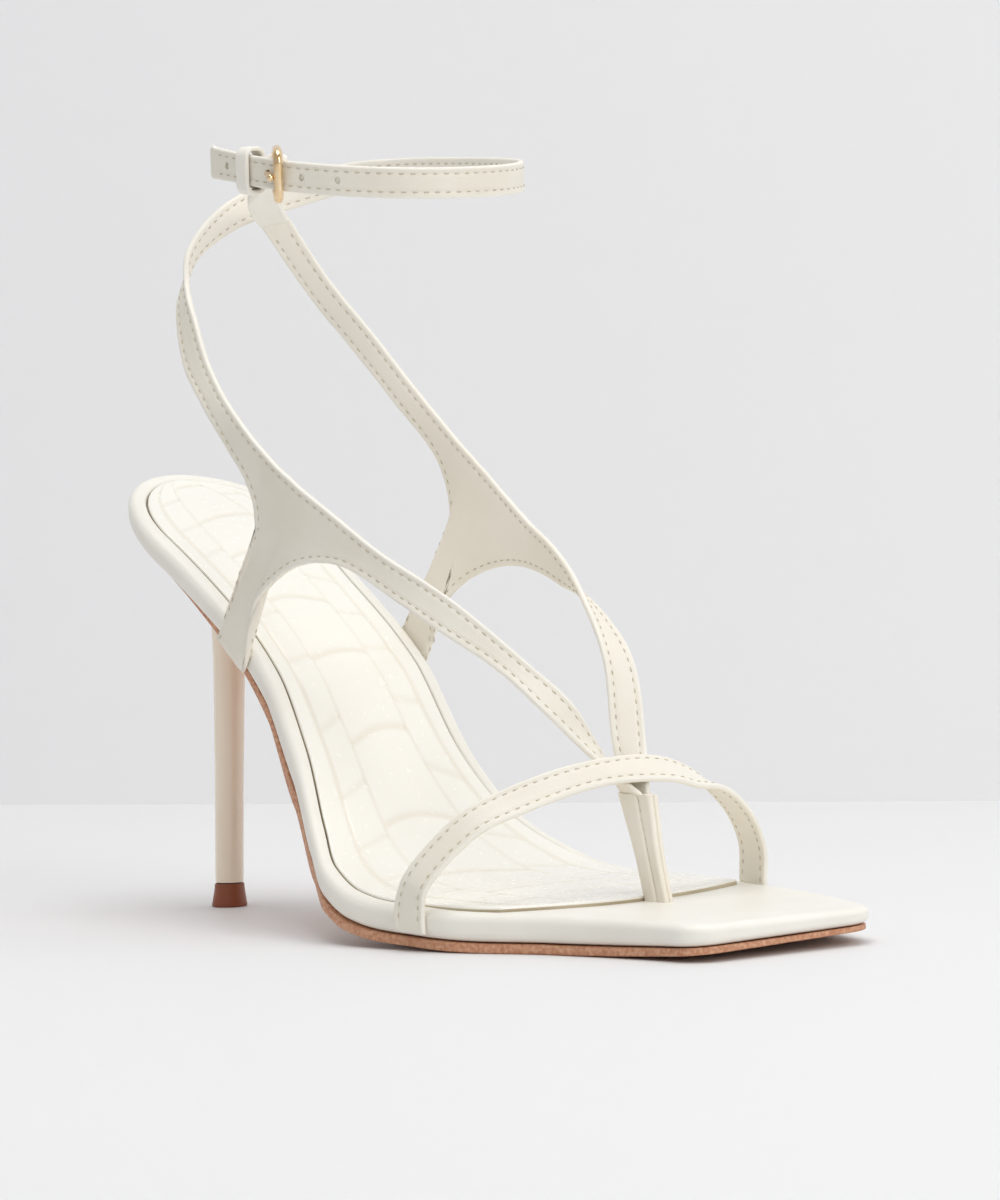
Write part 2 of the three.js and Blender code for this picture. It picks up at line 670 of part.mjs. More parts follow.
// The prong's rod, from its eye on the hinge bar out through the strap and over the bar
function prongPath() {
  const over = -BUCKLE_WIRE / 2 - CLEAR - PRONG_WIRE / 2;
  return [
    inBuckle(0.5, -1.5, 0),
    inBuckle(1.5, -2.15, 0),
    inBuckle(3.4, -2.25, 0),
    inBuckle(6, -2.05, 0),
    inBuckle(BUCKLE_LENGTH + 0.9, over, 0),
  ];
}
const EYE_HEIGHT = 2;
const EYE_OUTER = SLEEVE_INNER + 0.8;

function makeProng() {
  const eye = hingeTube(EYE_OUTER, EYE_HEIGHT);
  const bore = hingeTube(SLEEVE_INNER, EYE_HEIGHT + 2);
  const solid = solidOf(eye).add(solidOf(rod(prongPath(), PRONG_WIRE / 2))).subtract(solidOf(bore));
  return geometryOf(solid);
}

function makeKeeper() {
  const over = FREE_AT(2);
  const under = toPoint(BUCKLE_END[2].X, BUCKLE_END[2].Y, BUCKLE_END[2].Z);
  const outer = over.y - STRAP_THICK / 2 - CLEAR;
  const inner = under.y + STRAP_THICK / 2 + CLEAR + 0.4;
  const middle = new THREE.Vector3((over.x + under.x) / 2, (outer + inner) / 2, (over.z + under.z) / 2);
  const halfDeep = (inner - outer) / 2;
  const halfTall = STRAP_WIDTH / 2 + CLEAR + Math.abs(over.z - under.z) / 2 + 0.35;
  const loop = (grow, round) => {
    const shape = new THREE.Shape();
    const [w, h] = [halfDeep + grow, halfTall + grow];
    shape.moveTo(-w + round, -h);
    shape.lineTo(w - round, -h);
    shape.absarc(w - round, -h + round, round, -Math.PI / 2, 0, false);
    shape.absarc(w - round, h - round, round, 0, Math.PI / 2, false);
    shape.absarc(-w + round, h - round, round, Math.PI / 2, Math.PI, false);
    shape.absarc(-w + round, -h + round, round, Math.PI, Math.PI * 1.5, false);
    return shape;
  };
  const shape = loop(KEEPER_THICK, 1.5);
  shape.holes.push(loop(0, 0.5));
  const geometry = new THREE.ExtrudeGeometry(shape, {
    depth: KEEPER_WIDTH,
    bevelEnabled: false,
    curveSegments: 3,
  });
  geometry.translate(0, 0, -KEEPER_WIDTH / 2);
  geometry.rotateX(Math.PI / 2);
  geometry.rotateZ(Math.PI / 2);
  geometry.translate(middle.x, middle.y, middle.z);
  return geometryOf(solidOf(geometry));
}

// Thong sections, from the rim to the top. up: share of its height. long, thick: shares.
const THONG = table(
  ["up", "long", "thick"],
  [0.0, 0.6, 0.86],
  [0.3, 0.62, 0.88],
  [0.55, 0.69, 0.92],
  [0.8, 0.86, 0.97],
  [1.0, 1.0, 1.0]
);
const THONG_FOOT = { x: 0.7872, y: 0.125 }; // shares of LENGTH and of half the ball width
const THONG_TOP = { x: 0.7565, y: 0.125, z: 0.258 };

function makeThong() {
  const foot = new THREE.Vector3(toX(THONG_FOOT.x), THONG_FOOT.y * HALF_BALL, 0);
  foot.z = rimTop(foot.x) + CLEAR;
  const top = toPoint(THONG_TOP.x, THONG_TOP.y, THONG_TOP.z);
  const rings = THONG.map((row) => {
    const centre = foot.clone().lerp(top, row.up);
    const [l, t] = [(row.long * THONG_LONG) / 2, (row.thick * THONG_THICK) / 2];
    const r = Math.min(l, t) * 0.55;
    const points = [];
    for (const [sx, sy, from] of [[1, 1, 0], [-1, 1, 90], [-1, -1, 180], [1, -1, 270]]) {
      for (const a of [0, 45, 90]) {
        const turn = THREE.MathUtils.degToRad(from + a);
        const x = sx * (l - r) + r * Math.cos(turn);
        points.push(centre.clone().add(new THREE.Vector3(x, sy * (t - r) + r * Math.sin(turn), 0)));
      }
    }
    return points;
  });
  return skin(rings);
}

// The five holes, spaced along the free end from the one that the prong is in
function strapHoles(line) {
  const prong = inBuckle(3.4, -2, 0);
  let nearest = 0;
  line.forEach(({ point }, i) => {
    const late = i > line.length / 2;
    if (late && point.distanceTo(prong) < line[nearest].point.distanceTo(prong)) nearest = i;
  });
  const holes = [];
  for (const way of [-1, 1]) {
    for (const count of [1, 2]) {
      let left = count * HOLE_STEP;
      let i = nearest;
      while (i + way > 0 && i + way < line.length) {
        const step = line[i].point.distanceTo(line[i + way].point);
        if (step > left) break;
        left -= step;
        i += way;
      }
      const next = line[Math.min(line.length - 1, i + way)];
      const ahead = next.point.clone().sub(line[i].point).normalize();
      const centre = line[i].point.clone().addScaledVector(ahead, left);
      const out = line[i].out;
      const reach = STRAP_THICK * 1.4;
      const ends = [-reach, reach].map((s) => centre.clone().addScaledVector(out, s));
      holes.push(solidOf(rod(ends, HOLE_WIDTH / 2, 10)));
    }
  }
  return holes;
}

function makeUpper() {
  const lateralRows = [...edgeRows(LATERAL_STRAP, -1), ...ankleRows(), ...endRows(FREE_END)];
  const lateral = strap(lateralRows, { side: -1 });
  const medialRows = [...edgeRows(MEDIAL_STRAP, 1), ...endRows(BUCKLE_END)];
  const medial = strap(medialRows, { side: 1 });
  const seats = (side, shares, depth) => {
    const [hi, lo] = shares.map((share) => besideRim(toX(share), side, depth));
    return { hi, lo, corner: false };
  };
  const toeRows = [
    seats(-1, TOE_SEATS.lateral, SEAT_DEPTH),
    seats(-1, TOE_SEATS.lateral, 0),
    ...edgeRows(TOE_STRAP, 1),
    seats(1, TOE_SEATS.medial, 0),
    seats(1, TOE_SEATS.medial, SEAT_DEPTH),
  ];
  const toe = strap(toeRows, { side: 1, finer: 3 });
  const sleeve = solidOf(hingeTube(SLEEVE_OUTER, STRAP_WIDTH));
  const bore = solidOf(hingeTube(SLEEVE_INNER, STRAP_WIDTH * 2));
  const slotLong = EYE_OUTER + CLEAR + SLEEVE_OUTER + 1;
  const slot = new THREE.BoxGeometry(slotLong, SLEEVE_OUTER * 3, EYE_HEIGHT + 2 * CLEAR);
  slot.translate(slotLong / 2 - EYE_OUTER - CLEAR, 0, 0);
  slot.applyMatrix4(buckleFrame);
  slot.translate(HINGE.x, HINGE.y, HINGE.z);
  let upper = solidOf(medial.geometry).add(sleeve).subtract(bore).subtract(solidOf(slot));
  upper = upper.add(solidOf(toe.geometry));
  let free = solidOf(lateral.geometry);
  for (const hole of strapHoles(lateral.line)) free = free.subtract(hole);
  free = free.subtract(solidOf(rod(prongPath(), PRONG_WIRE / 2 + CLEAR)));
  return geometryOf(upper.add(free));
}

// Finishes
const finish = (color, roughness, metalness = 0) =>
  new THREE.MeshStandardMaterial({ color, roughness, metalness });
const ivoryLeather = finish(0xe7e3d6, 0.5);
const glossInsole = finish(0xf0eee4, 0.25);
const brownSole = finish(0xa5694a, 0.6);
const ivoryHeel = finish(0xece2d2, 0.25);
const brownLift = finish(0x8f4f34, 0.4);
const goldMetal = finish(0xd9b678, 0.25, 1);

const sandal = new THREE.Group();
const piece = (name, geometry, material) => {
  const mesh = new THREE.Mesh(geometry, material);
  mesh.name = name;
  sandal.add(mesh);
};
piece("outsole", makeOutsole(), brownSole);
piece("rim", makeRim(), ivoryLeather);
piece("insole", makeInsole(), glossInsole);
piece("heel", makeHeel(), ivoryHeel);
piece("top_lift", makeTopLift(), brownLift);
piece("upper", makeUpper(), ivoryLeather);
piece("thong", makeThong(), ivoryLeather);
piece("keeper", makeKeeper(), ivoryLeather);
piece("buckle", makeBuckle(), goldMetal);
piece("prong", makeProng(), goldMetal);

export default sandal;
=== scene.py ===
import math

import bmesh
import bpy
import numpy as np
from mathutils import Matrix, Vector


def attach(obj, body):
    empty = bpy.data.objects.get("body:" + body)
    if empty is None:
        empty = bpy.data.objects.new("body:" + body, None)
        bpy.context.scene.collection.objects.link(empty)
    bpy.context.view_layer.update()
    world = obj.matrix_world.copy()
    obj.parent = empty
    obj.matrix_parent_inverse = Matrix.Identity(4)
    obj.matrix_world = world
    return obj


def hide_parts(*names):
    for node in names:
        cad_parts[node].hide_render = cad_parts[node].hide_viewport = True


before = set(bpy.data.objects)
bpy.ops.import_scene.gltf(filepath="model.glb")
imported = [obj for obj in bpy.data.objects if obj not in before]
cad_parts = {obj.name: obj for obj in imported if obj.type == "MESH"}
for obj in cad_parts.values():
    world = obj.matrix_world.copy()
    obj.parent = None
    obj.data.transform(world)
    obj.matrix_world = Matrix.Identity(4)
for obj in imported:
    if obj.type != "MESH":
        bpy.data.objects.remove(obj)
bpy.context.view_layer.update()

# A strappy heeled sandal for the right foot. Everything below is worked out in millimetres,
# with the origin on the floor under the heel tip, +X to the toe, +Y to the inner side of
# the foot and +Z up, and is turned to metres when a mesh is made.
MM = 0.001

# Sizes of the sole
LENGTH = 211.5
HEEL_BACK = 19
HALF_BALL = 44
HEEL_HEIGHT = 104
TOE_SPRING = 1.5
SPRING_FROM = 0.88
RIM_THICK = 6
OUTSOLE_THICK = 2.9
INSOLE_THICK = 1.7
INSOLE_INSET = 4.7
INSOLE_SIDE_END = 0.724
INSOLE_BOW = 9.5
OUTSOLE_INSET = 0.7
HEEL_ROUND = 26
TOE_CORNER = 8
WRAP_ROUND = 2.55
CLEAR = 0.3
RECESS_CLEAR = 0.45
BASE = RIM_THICK + CLEAR + OUTSOLE_THICK
RISE = HEEL_HEIGHT - BASE
TOE_X = LENGTH - HEEL_BACK
FULLER = 0.65  # how much deeper the wrapped edge is at the ball and toe
TOE_LIFT = 3.0
TOE_DROP = 0.8
TOE_REACH = 1.5
THINNER_FROM = 136  # X where the toe starts to thin

# Sizes of the heel
LIFT_HEIGHT = 5.6
LIFT_FLOOR_WIDTH = 8.8
LIFT_TOP_WIDTH = 7.2
SHAFT_WIDTH = 6.8
HEEL_RAKE = 2.6

# Sizes of the straps and their stitching
STRAP_THICK = 1.4
STRAP_WIDTH = 7.3
EDGE_ROLL = 0.55  # radius of a strap's rolled edge
LAST_ROUND = 85
BULGE_SPAN = 15
ANKLE_LENGTH = 85
ANKLE_WIDTH = 61.5
ANKLE_CENTRE = (0.317, 0.108)
ANKLE_BACK_SHARE = 0.459
ANKLE_SQUARENESS = 2.3
HOLE_WIDTH = 1.75
HOLE_FLOOR = -0.25  # where the backing closes a hole, from the strap's middle layer
HOLES_AT = (-19.6, -9.8, 0, 7.3, 14.4)  # mm along the strap from the prong's hole
STITCH_PITCH = 2.6
STITCH_LONG = 1.4
STITCH_INSET = 1.5
THREAD_WIDTH = 0.31
FOLD_FROM = 19  # row of the inner strap where its folded end starts
FOLD_THICK = 0.8

# Heights between which the lining turns paler
PALER_FROM = 80
PALER_TO = 130

# Sizes of the buckle, keeper and thong
BUCKLE_LENGTH = 8
BUCKLE_HEIGHT = 10.9
BUCKLE_WIRE = 1.9
BUCKLE_CORNER = 2.4
WIRE_LOOK = 1.2  # the cast frame is this much fuller than its wire
BUCKLE_TILT = 9
PRONG_WIRE = 1.2
PRONG_LOOK = 1.35  # and the prong this much
KEEPER_WIDTH = 4
KEEPER_THICK = 1.1
KEEPER_CORNER = 2.0
THONG_LONG = 11.8
THONG_THICK = 3.7

# Sole sections: share of the length, rise, outer and inner half width, share of the outsole
SOLE = np.array([
    [0.0, 1.0, 0.574, 0.612, 0.36],
    [0.09, 0.897, 0.574, 0.612, 0.36],
    [0.208, 0.736, 0.585, 0.53, 0.6],
    [0.326, 0.537, 0.648, 0.508, 0.92],
    [0.383, 0.364, 0.708, 0.504, 1.0],
    [0.444, 0.179, 0.844, 0.607, 1.0],
    [0.492, 0.086, 0.961, 0.756, 1.0],
    [0.539, 0.036, 0.992, 0.873, 1.0],
    [0.58, 0.0175, 0.98, 0.973, 1.0],
    [0.619, 0.0115, 0.959, 1.053, 1.0],
    [0.681, 0.003, 0.905, 1.083, 1.0],
    [0.73, 0.0, 0.801, 1.062, 1.0],
    [0.78, 0.0, 0.691, 1.029, 1.0],
    [0.82, 0.0, 0.641, 0.997, 1.0],
    [0.88, 0.0, 0.583, 0.925, 1.0],
    [0.95, 0.0, 0.542, 0.806, 1.0],
    [1.0, 0.0, 0.541, 0.704, 1.0],
])

# Heel sections: share of the height, then back, front and side as shares of SHAFT_WIDTH
HEEL = np.array([
    [0.0, 0.5, 0.5, 0.5],
    [0.35, 0.52, 0.52, 0.52],
    [0.62, 0.555, 0.555, 0.555],
    [0.78, 0.64, 0.61, 0.61],
    [0.88, 0.95, 0.8, 0.82],
    [0.94, 1.45, 1.15, 1.25],
    [1.0, 2.35, 1.75, 2.0],
])

# Strap rows: upper edge X, Y, Z and lower edge X, Y, Z, as shares of LENGTH, HALF_BALL and
# RISE. A row of four numbers ends in a tab beside the rim.
LATERAL_STRAP = [
    (0.739, 0.111, 0.25, 0.774, 0.111, 0.25),
    (0.703, 0.105, 0.358, 0.721, -0.032, 0.352),
    (0.7, -0.06, 0.476, 0.692, -0.244, 0.467),
    (0.671, -0.226, 0.575, 0.653, -0.365, 0.561),
    (0.607, -0.429, 0.72, 0.589, -0.525, 0.663),
    (0.568, -0.466, 0.769, 0.536, -0.552, 0.722),
    (0.51, -0.56, 0.845, 0.457, -0.633, 0.812),
    (0.455, -0.621, 0.927, 0.398, -0.67, 0.81),
    (0.425, -0.646, 0.97, 0.352, -0.68, 0.762),
    (0.405, -0.66, 0.997, 0.313, -0.665, 0.69),
    (0.392, -0.666, 1.016, 0.287),
    (0.384, -0.67, 1.028, 0.239),
    (0.369, -0.676, 1.05, 0.2735, -0.635, 0.722),
    (0.356, -0.678, 1.071, 0.3085, -0.652, 0.826),
    (0.346, -0.679, 1.087, 0.3225, -0.663, 0.928),
    (0.334, -0.68, 1.108, 0.3125, -0.677, 1.011),
    (0.318, -0.68, 1.138, 0.28, -0.684, 1.1),
    (0.278, -0.654, 1.211, 0.244, -0.687, 1.193),
    (0.234, -0.6, 1.304, 0.201, -0.634, 1.283),
    (0.207, -0.561, 1.394, 0.172, -0.557, 1.378),
    (0.187, -0.525, 1.452, 0.154, -0.481, 1.435),
    (0.167, -0.467, 1.495, 0.14, -0.372, 1.487),
    (0.151, -0.397, 1.56, 0.132, -0.267, 1.54),
    (0.134, -0.188, 1.638, 0.128, -0.056, 1.595),
    (0.126, 0.083, 1.7, 0.135, 0.158, 1.633),
]
ANKLE_LOOP = np.array([
    [157, 1.7], [135, 1.73], [112, 1.74], [88, 1.743], [62, 1.743],
    [38, 1.741], [15, 1.738], [-8, 1.738], [-32, 1.742], [-55, 1.75],
])
FREE_END = [
    (0.375, -0.593, 1.764, 1),
    (0.3475, -0.614, 1.7715, 1),
    (0.3177, -0.6205, 1.779, 1),
    (0.288, -0.6205, 1.788, 1),
    (0.265, -0.614, 1.794, 1.03),
    (0.256, -0.607, 1.797, 1.03),
    (0.2525, -0.603, 1.798, 0.7),
]
BUCKLE_END = [
    (0.2885, -0.5136, 1.765, 1),
    (0.303, -0.572, 1.77, 1),
    (0.3177, -0.582, 1.774, 1),
    (0.336, -0.575, 1.77, 1),
]
MEDIAL_STRAP = [
    (0.739, 0.139, 0.25, 0.774, 0.139, 0.25),
    (0.714, 0.151, 0.364, 0.738, 0.285, 0.362),
    (0.687, 0.222, 0.565, 0.697, 0.384, 0.57),
    (0.631, 0.347, 0.696, 0.609, 0.471, 0.705),
    (0.577, 0.472, 0.778, 0.552, 0.528, 0.733),
    (0.54, 0.506, 0.835, 0.518, 0.549, 0.757),
    (0.49, 0.566, 0.885, 0.462, 0.6, 0.773),
    (0.452, 0.609, 0.93, 0.405, 0.627, 0.758),
    (0.425, 0.634, 0.965, 0.365, 0.61, 0.72),
    (0.405, 0.649, 0.993, 0.331, 0.57, 0.644),
    (0.396, 0.655, 1.006, 0.307),
    (0.39, 0.658, 1.014, 0.268),
    (0.378, 0.665, 1.031, 0.302, 0.6, 0.702),
    (0.366, 0.67, 1.048, 0.329, 0.645, 0.804),
    (0.356, 0.674, 1.063, 0.334, 0.668, 0.897),
    (0.345, 0.677, 1.08, 0.311, 0.678, 1.026),
    (0.28, 0.653, 1.21, 0.252, 0.62, 1.171),
    (0.225, 0.607, 1.338, 0.197, 0.575, 1.297),
    (0.177, 0.49, 1.481, 0.15, 0.46, 1.437),
    (0.1678, 0.264, 1.6372, 0.1418, 0.163, 1.6228),
    (0.1962, 0.099, 1.6703, 0.1702, -0.021, 1.6663),
    (0.2317, -0.076, 1.7046, 0.208, -0.188, 1.6979),
    (0.266, -0.29, 1.773, 0.249, -0.31, 1.716),
]
TOE_STRAP = [
    (0.633, -0.975, 0.092, 0.664, -0.957, 0.052),
    (0.666, -0.746, 0.227, 0.694, -0.725, 0.18),
    (0.682, -0.583, 0.27, 0.715, -0.525, 0.225),
    (0.718, -0.198, 0.331, 0.75, -0.073, 0.284),
    (0.741, 0.263, 0.343, 0.78, 0.284, 0.286),
    (0.745, 0.516, 0.308, 0.783, 0.45, 0.266),
    (0.734, 0.736, 0.242, 0.777, 0.675, 0.25),
    (0.717, 0.956, 0.164, 0.766, 0.898, 0.179),
    (0.706, 1.067, 0.089, 0.745, 1.082, 0.078),
]
TOE_SEATS = {-1: (0.6175, 0.658), 1: (0.698, 0.745)}
SEAT_DEPTH = 0.95

# Thong sections: share of the height, of THONG_LONG and of THONG_THICK
THONG = np.array([
    [0.0, 0.7, 0.86], [0.3, 0.71, 0.88], [0.55, 0.77, 0.92], [0.8, 0.9, 0.97], [1.0, 1.0, 1.0],
])
THONG_FOOT = (0.7872, 0.125)
THONG_TOP = (0.7565, 0.125, 0.258)


# Curves and surfaces -------------------------------------------------------------------


def unit(v):
    """Vectors divided by their lengths."""
    return v / np.maximum(np.linalg.norm(v, axis=-1, keepdims=True), 1e-12)


def through(x, y, at):
    """A cubic through points (x, y) that never overshoots: each inner tangent is the
    harmonic mean of the two slopes beside it, or 0 where the slopes differ in sign."""
    slope = np.diff(y) / np.diff(x)
    before, after = slope[:-1], slope[1:]
    both = before + after
    same = before * after > 0
    inner = np.where(same, 2 * before * after / np.where(same, both, 1), 0)
    tangent = np.concatenate([slope[:1], inner, slope[-1:]])
    at = np.clip(at, x[0], x[-1])
    i = np.clip(np.searchsorted(x, at) - 1, 0, len(x) - 2)
    step = x[i + 1] - x[i]
    t = (at - x[i]) / step
    return (
        (2 * t**3 - 3 * t**2 + 1) * y[i]
        + (t**3 - 2 * t**2 + t) * step * tangent[i]
        + (3 * t**2 - 2 * t**3) * y[i + 1]
        + (t**3 - t**2) * step * tangent[i + 1]
    )


def smooth_curve(points, at):
    """A centripetal Catmull-Rom curve: at counts points, and knots are spaced by the
    square root of the distance between them."""
    p = np.asarray(points, float)
    p = np.concatenate([2 * p[:1] - p[1:2], p, 2 * p[-1:] - p[-2:-1]])
    i = np.clip(np.floor(at).astype(int), 0, len(p) - 4)
    w = (at - i)[:, None]
    a, b, c, d = p[i], p[i + 1], p[i + 2], p[i + 3]
    knots = [np.linalg.norm(q, axis=1, keepdims=True) ** 0.5 for q in (b - a, c - b, d - c)]
    k1 = np.where(knots[1] < 1e-4, 1, knots[1])
    k0, k2 = (np.where(k < 1e-4, k1, k) for k in (knots[0], knots[2]))
    t1 = ((b - a) / k0 - (c - a) / (k0 + k1) + (c - b) / k1) * k1
    t2 = ((c - b) / k1 - (d - b) / (k1 + k2) + (d - c) / k2) * k1
    return b + t1 * w + (3 * c - 3 * b - 2 * t1 - t2) * w**2 + (2 * b - 2 * c + t1 + t2) * w**3


def lengths_along(path):
    """Distance along a polyline to each of its points."""
    steps = np.linalg.norm(np.diff(path, axis=0), axis=1)
    return np.concatenate([[0], np.cumsum(steps)])


def at_lengths(path, lengths):
    """Points of a polyline at distances along it."""
    run = lengths_along(path)
    return np.column_stack([np.interp(lengths, run, column) for column in path.T])


def spaced(path, count):
    """A polyline's points at even distances."""
    return at_lengths(path, np.linspace(0, lengths_along(path)[-1], count))


def rim_top(x):
    """Height of the rim's top: the rise table, and a square-law spring at the toe."""
    at = (x + HEEL_BACK) / LENGTH
    spring = np.maximum(0, (at - SPRING_FROM) / (1 - SPRING_FROM))
    return BASE + RISE * through(SOLE[:, 0], SOLE[:, 1], at) + TOE_SPRING * spring**2


def upright(x, thick):
    """A thickness square to the sole, measured straight down."""
    return thick * np.hypot(1, rim_top(x + 0.5) - rim_top(x - 0.5))


def half_width(x, side, inset=0):
    """Half width of the sole: the width table times the heel's quarter circle, drawn in
    at the toe by the corner's radius."""
    at = (x + HEEL_BACK) / LENGTH
    wide = through(SOLE[:, 0], SOLE[:, 2 if side < 0 else 3], at) * HALF_BALL - inset
    back = np.clip((HEEL_ROUND - x - HEEL_BACK) / (HEEL_ROUND - inset), 0, 1)
    ahead = np.clip(TOE_X - inset - x, 0, TOE_CORNER)
    corner = TOE_CORNER - np.sqrt(np.maximum(0, TOE_CORNER**2 - (TOE_CORNER - ahead) ** 2))
    return np.maximum(0, wide * np.sqrt(1 - back**2) - corner)


def rim_low(x):
    return rim_top(x) - upright(x, RIM_THICK + welt(x))


def welt(x):
    """The wrapped edge is up to FULLER mm deeper at the ball and toe than at the heel."""
    return FULLER * np.clip((x - 30) / 80, 0, 1)


def outsole_high(x):
    return rim_top(x) - upright(x, RIM_THICK + CLEAR + welt(x))


def toe_shape(points):
    """Thins the toe: between 0 and the rim's top, heights are pressed into a range that
    starts TOE_LIFT higher and ends TOE_DROP lower, growing with the square of the way to
    the toe's inner corner, which also reaches TOE_REACH further."""
    x, y, z = points[..., 0], points[..., 1], points[..., 2]
    way = np.clip((x + 0.3 * y - THINNER_FROM) / 62, 0, 1.1) ** 2
    spring = np.maximum(0, ((x + HEEL_BACK) / LENGTH - SPRING_FROM) / (1 - SPRING_FROM))
    flat = z - TOE_SPRING * spring**2
    pressed = TOE_LIFT * way + flat * (1 - (TOE_LIFT + TOE_DROP) * way / BASE)
    ahead = TOE_REACH * np.clip((x - 150) / 40, 0, 1) ** 2 * np.clip((y + 20) / 45, 0, 1)
    return np.stack([x + ahead, y, np.where(x > THINNER_FROM, pressed, z)], -1)


def outsole_share(x):
    return through(SOLE[:, 0], SOLE[:, 4], (x + HEEL_BACK) / LENGTH)


def outsole_low(x):
    return rim_top(x) - upright(x, RIM_THICK + CLEAR + OUTSOLE_THICK * outsole_share(x))


SPLIT = 130  # where the insole's rows stop following the rim's


def half_outline(side, inset, steps_back, steps_front):
    """One side of the sole's outline from the middle of the heel to the middle of the toe,
    evenly spaced behind SPLIT and evenly in front of it."""
    back, front = inset - HEEL_BACK, TOE_X - inset
    turn = np.linspace(0, np.pi / 2, 90)
    x = np.concatenate([
        back + HEEL_ROUND * (1 - np.cos(turn)),
        np.linspace(back + HEEL_ROUND, front - TOE_CORNER, 700)[1:],
        front - TOE_CORNER * (1 - np.sin(turn[1:])),
    ])
    y = side * half_width(x, side, inset)
    middle = (half_width(front, 1, inset) - half_width(front, -1, inset)) / 2
    edge = np.linspace(y[-1], middle, 30)[1:]
    path = np.column_stack([np.append(x, np.full(29, front)), np.append(y, edge)])
    cut = int(np.argmax(path[:, 0] >= SPLIT))
    return np.concatenate([spaced(path[: cut + 1], steps_back), spaced(path[cut:], steps_front)[1:]])


def half_insole(side, grow, shares, steps_front):
    """One side of the insole's outline. shares are places behind SPLIT; in front of it the
    outline closes in a bow, half width = side width x w for w from 1 to 0."""
    back = INSOLE_INSET - grow - HEEL_BACK
    end = INSOLE_SIDE_END * LENGTH - HEEL_BACK + grow
    bow = INSOLE_BOW
    x = back + (SPLIT - back) * shares
    w = np.linspace(1, 0, steps_front - 8)
    ahead = np.concatenate([np.linspace(SPLIT, end, 9)[1:-1], end + bow * (1 - w**2)])
    x = np.concatenate([x, ahead])
    left = np.clip((x - end) / bow, 0, 1)
    y = side * half_width(x, side, INSOLE_INSET - grow) * np.sqrt(1 - left)
    return np.column_stack([x, y])


def inward(path, side):
    """Normals of a half outline that point into the sole."""
    ahead = unit(np.gradient(path, axis=0))
    turned = np.column_stack([-ahead[:, 1], ahead[:, 0]]) * -side
    turned[0], turned[-1] = (1, 0), (-1, 0)
    return turned


def grid_faces(rows, columns, round_rows=False, round_columns=False):
    """Quads of a grid of points, as indices."""
    r = np.arange(rows if round_rows else rows - 1)[:, None]
    c = np.arange(columns if round_columns else columns - 1)[None, :]
    r2, c2 = (r + 1) % rows, (c + 1) % columns
    quads = np.stack([r * columns + c, r * columns + c2, r2 * columns + c2, r2 * columns + c], -1)
    return quads.reshape(-1, 4)


def both_halves(outer_side, inner_side):
    """Rows of the two sides of the sole put in one ring: heel to toe, then back."""
    return np.concatenate([outer_side, inner_side[::-1]])


# Meshes --------------------------------------------------------------------------------


def merged(mesh):
    """Merges equal points, drops faces without area and turns the rest outwards."""
    work = bmesh.new()
    work.from_mesh(mesh)
    bmesh.ops.remove_doubles(work, verts=work.verts, dist=2e-6)
    bmesh.ops.dissolve_degenerate(work, edges=work.edges, dist=1e-7)
    bmesh.ops.recalc_face_normals(work, faces=work.faces)
    work.to_mesh(mesh)
    work.free()


def piece(name, points, faces, materials, stands_for=(), kinds=None, creases=50, edge=None):
    """Makes one closed piece from points in millimetres. Equal points are merged, and
    faces are turned outwards. kinds is the material of each face."""
    mesh = bpy.data.meshes.new(name)
    mesh.from_pydata((np.asarray(points).reshape(-1, 3) * MM).tolist(), [], faces.tolist())
    if edge is not None:
        mesh.attributes.new("edge", "FLOAT", "POINT").data.foreach_set("value", edge.ravel())
    for material in materials:
        mesh.materials.append(material)
    if kinds is not None:
        mesh.polygons.foreach_set("material_index", np.asarray(kinds, np.int32))
    merged(mesh)
    mesh.shade_smooth()
    mesh.set_sharp_from_angle(angle=math.radians(creases))
    made = bpy.data.objects.new(name, mesh)
    bpy.context.scene.collection.objects.link(made)
    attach(made, "root")
    if stands_for:
        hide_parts(*stands_for)
    return made


def shell(outer, inner):
    """Points, faces and face kinds of a wall between two grids that share their border."""
    rows, columns = outer.shape[:2]
    quads = grid_faces(rows, columns)
    points = np.concatenate([outer.reshape(-1, 3), inner.reshape(-1, 3)])
    faces = np.concatenate([quads, quads[:, ::-1] + rows * columns])
    return points, faces, np.repeat([0, 1], len(quads))


def swept(path, radius, around=20):
    """Rings round a path: centre + radius (cos a * across + sin a * raised)."""
    ahead = unit(np.gradient(path, axis=0))
    across = unit(np.cross(ahead, [0.0, 0.0, 1.0]))
    raised = np.cross(across, ahead)
    turn = np.linspace(0, 2 * np.pi, around, endpoint=False)[None, :, None]
    wide = np.broadcast_to(np.asarray(radius, float).reshape(-1, 1, 1), (len(path), 1, 1))
    ring = across[:, None] * np.cos(turn) + raised[:, None] * np.sin(turn)
    return path[:, None] + wide * ring


def rounded(half_wide, half_high, corner, steps):
    """A rounded rectangle of quarter circles, and the angle that points out at each."""
    starts = (0, 90, 180, 270)
    turn = np.radians(np.concatenate([start + np.linspace(0, 90, steps) for start in starts]))
    wide, high = np.repeat([1, -1, -1, 1], steps), np.repeat([1, 1, -1, -1], steps)
    wide = wide * (half_wide - corner) + corner * np.cos(turn)
    return wide, high * (half_high - corner) + corner * np.sin(turn), turn


def capped(rings):
    """Points and faces of rings closed at both ends by a point in each end's middle."""
    first = np.repeat(rings[:1].mean(1, keepdims=True), rings.shape[1], 1)
    last = np.repeat(rings[-1:].mean(1, keepdims=True), rings.shape[1], 1)
    whole = np.concatenate([first, rings, last])
    return whole, grid_faces(*whole.shape[:2], round_columns=True)


# Materials -----------------------------------------------------------------------------


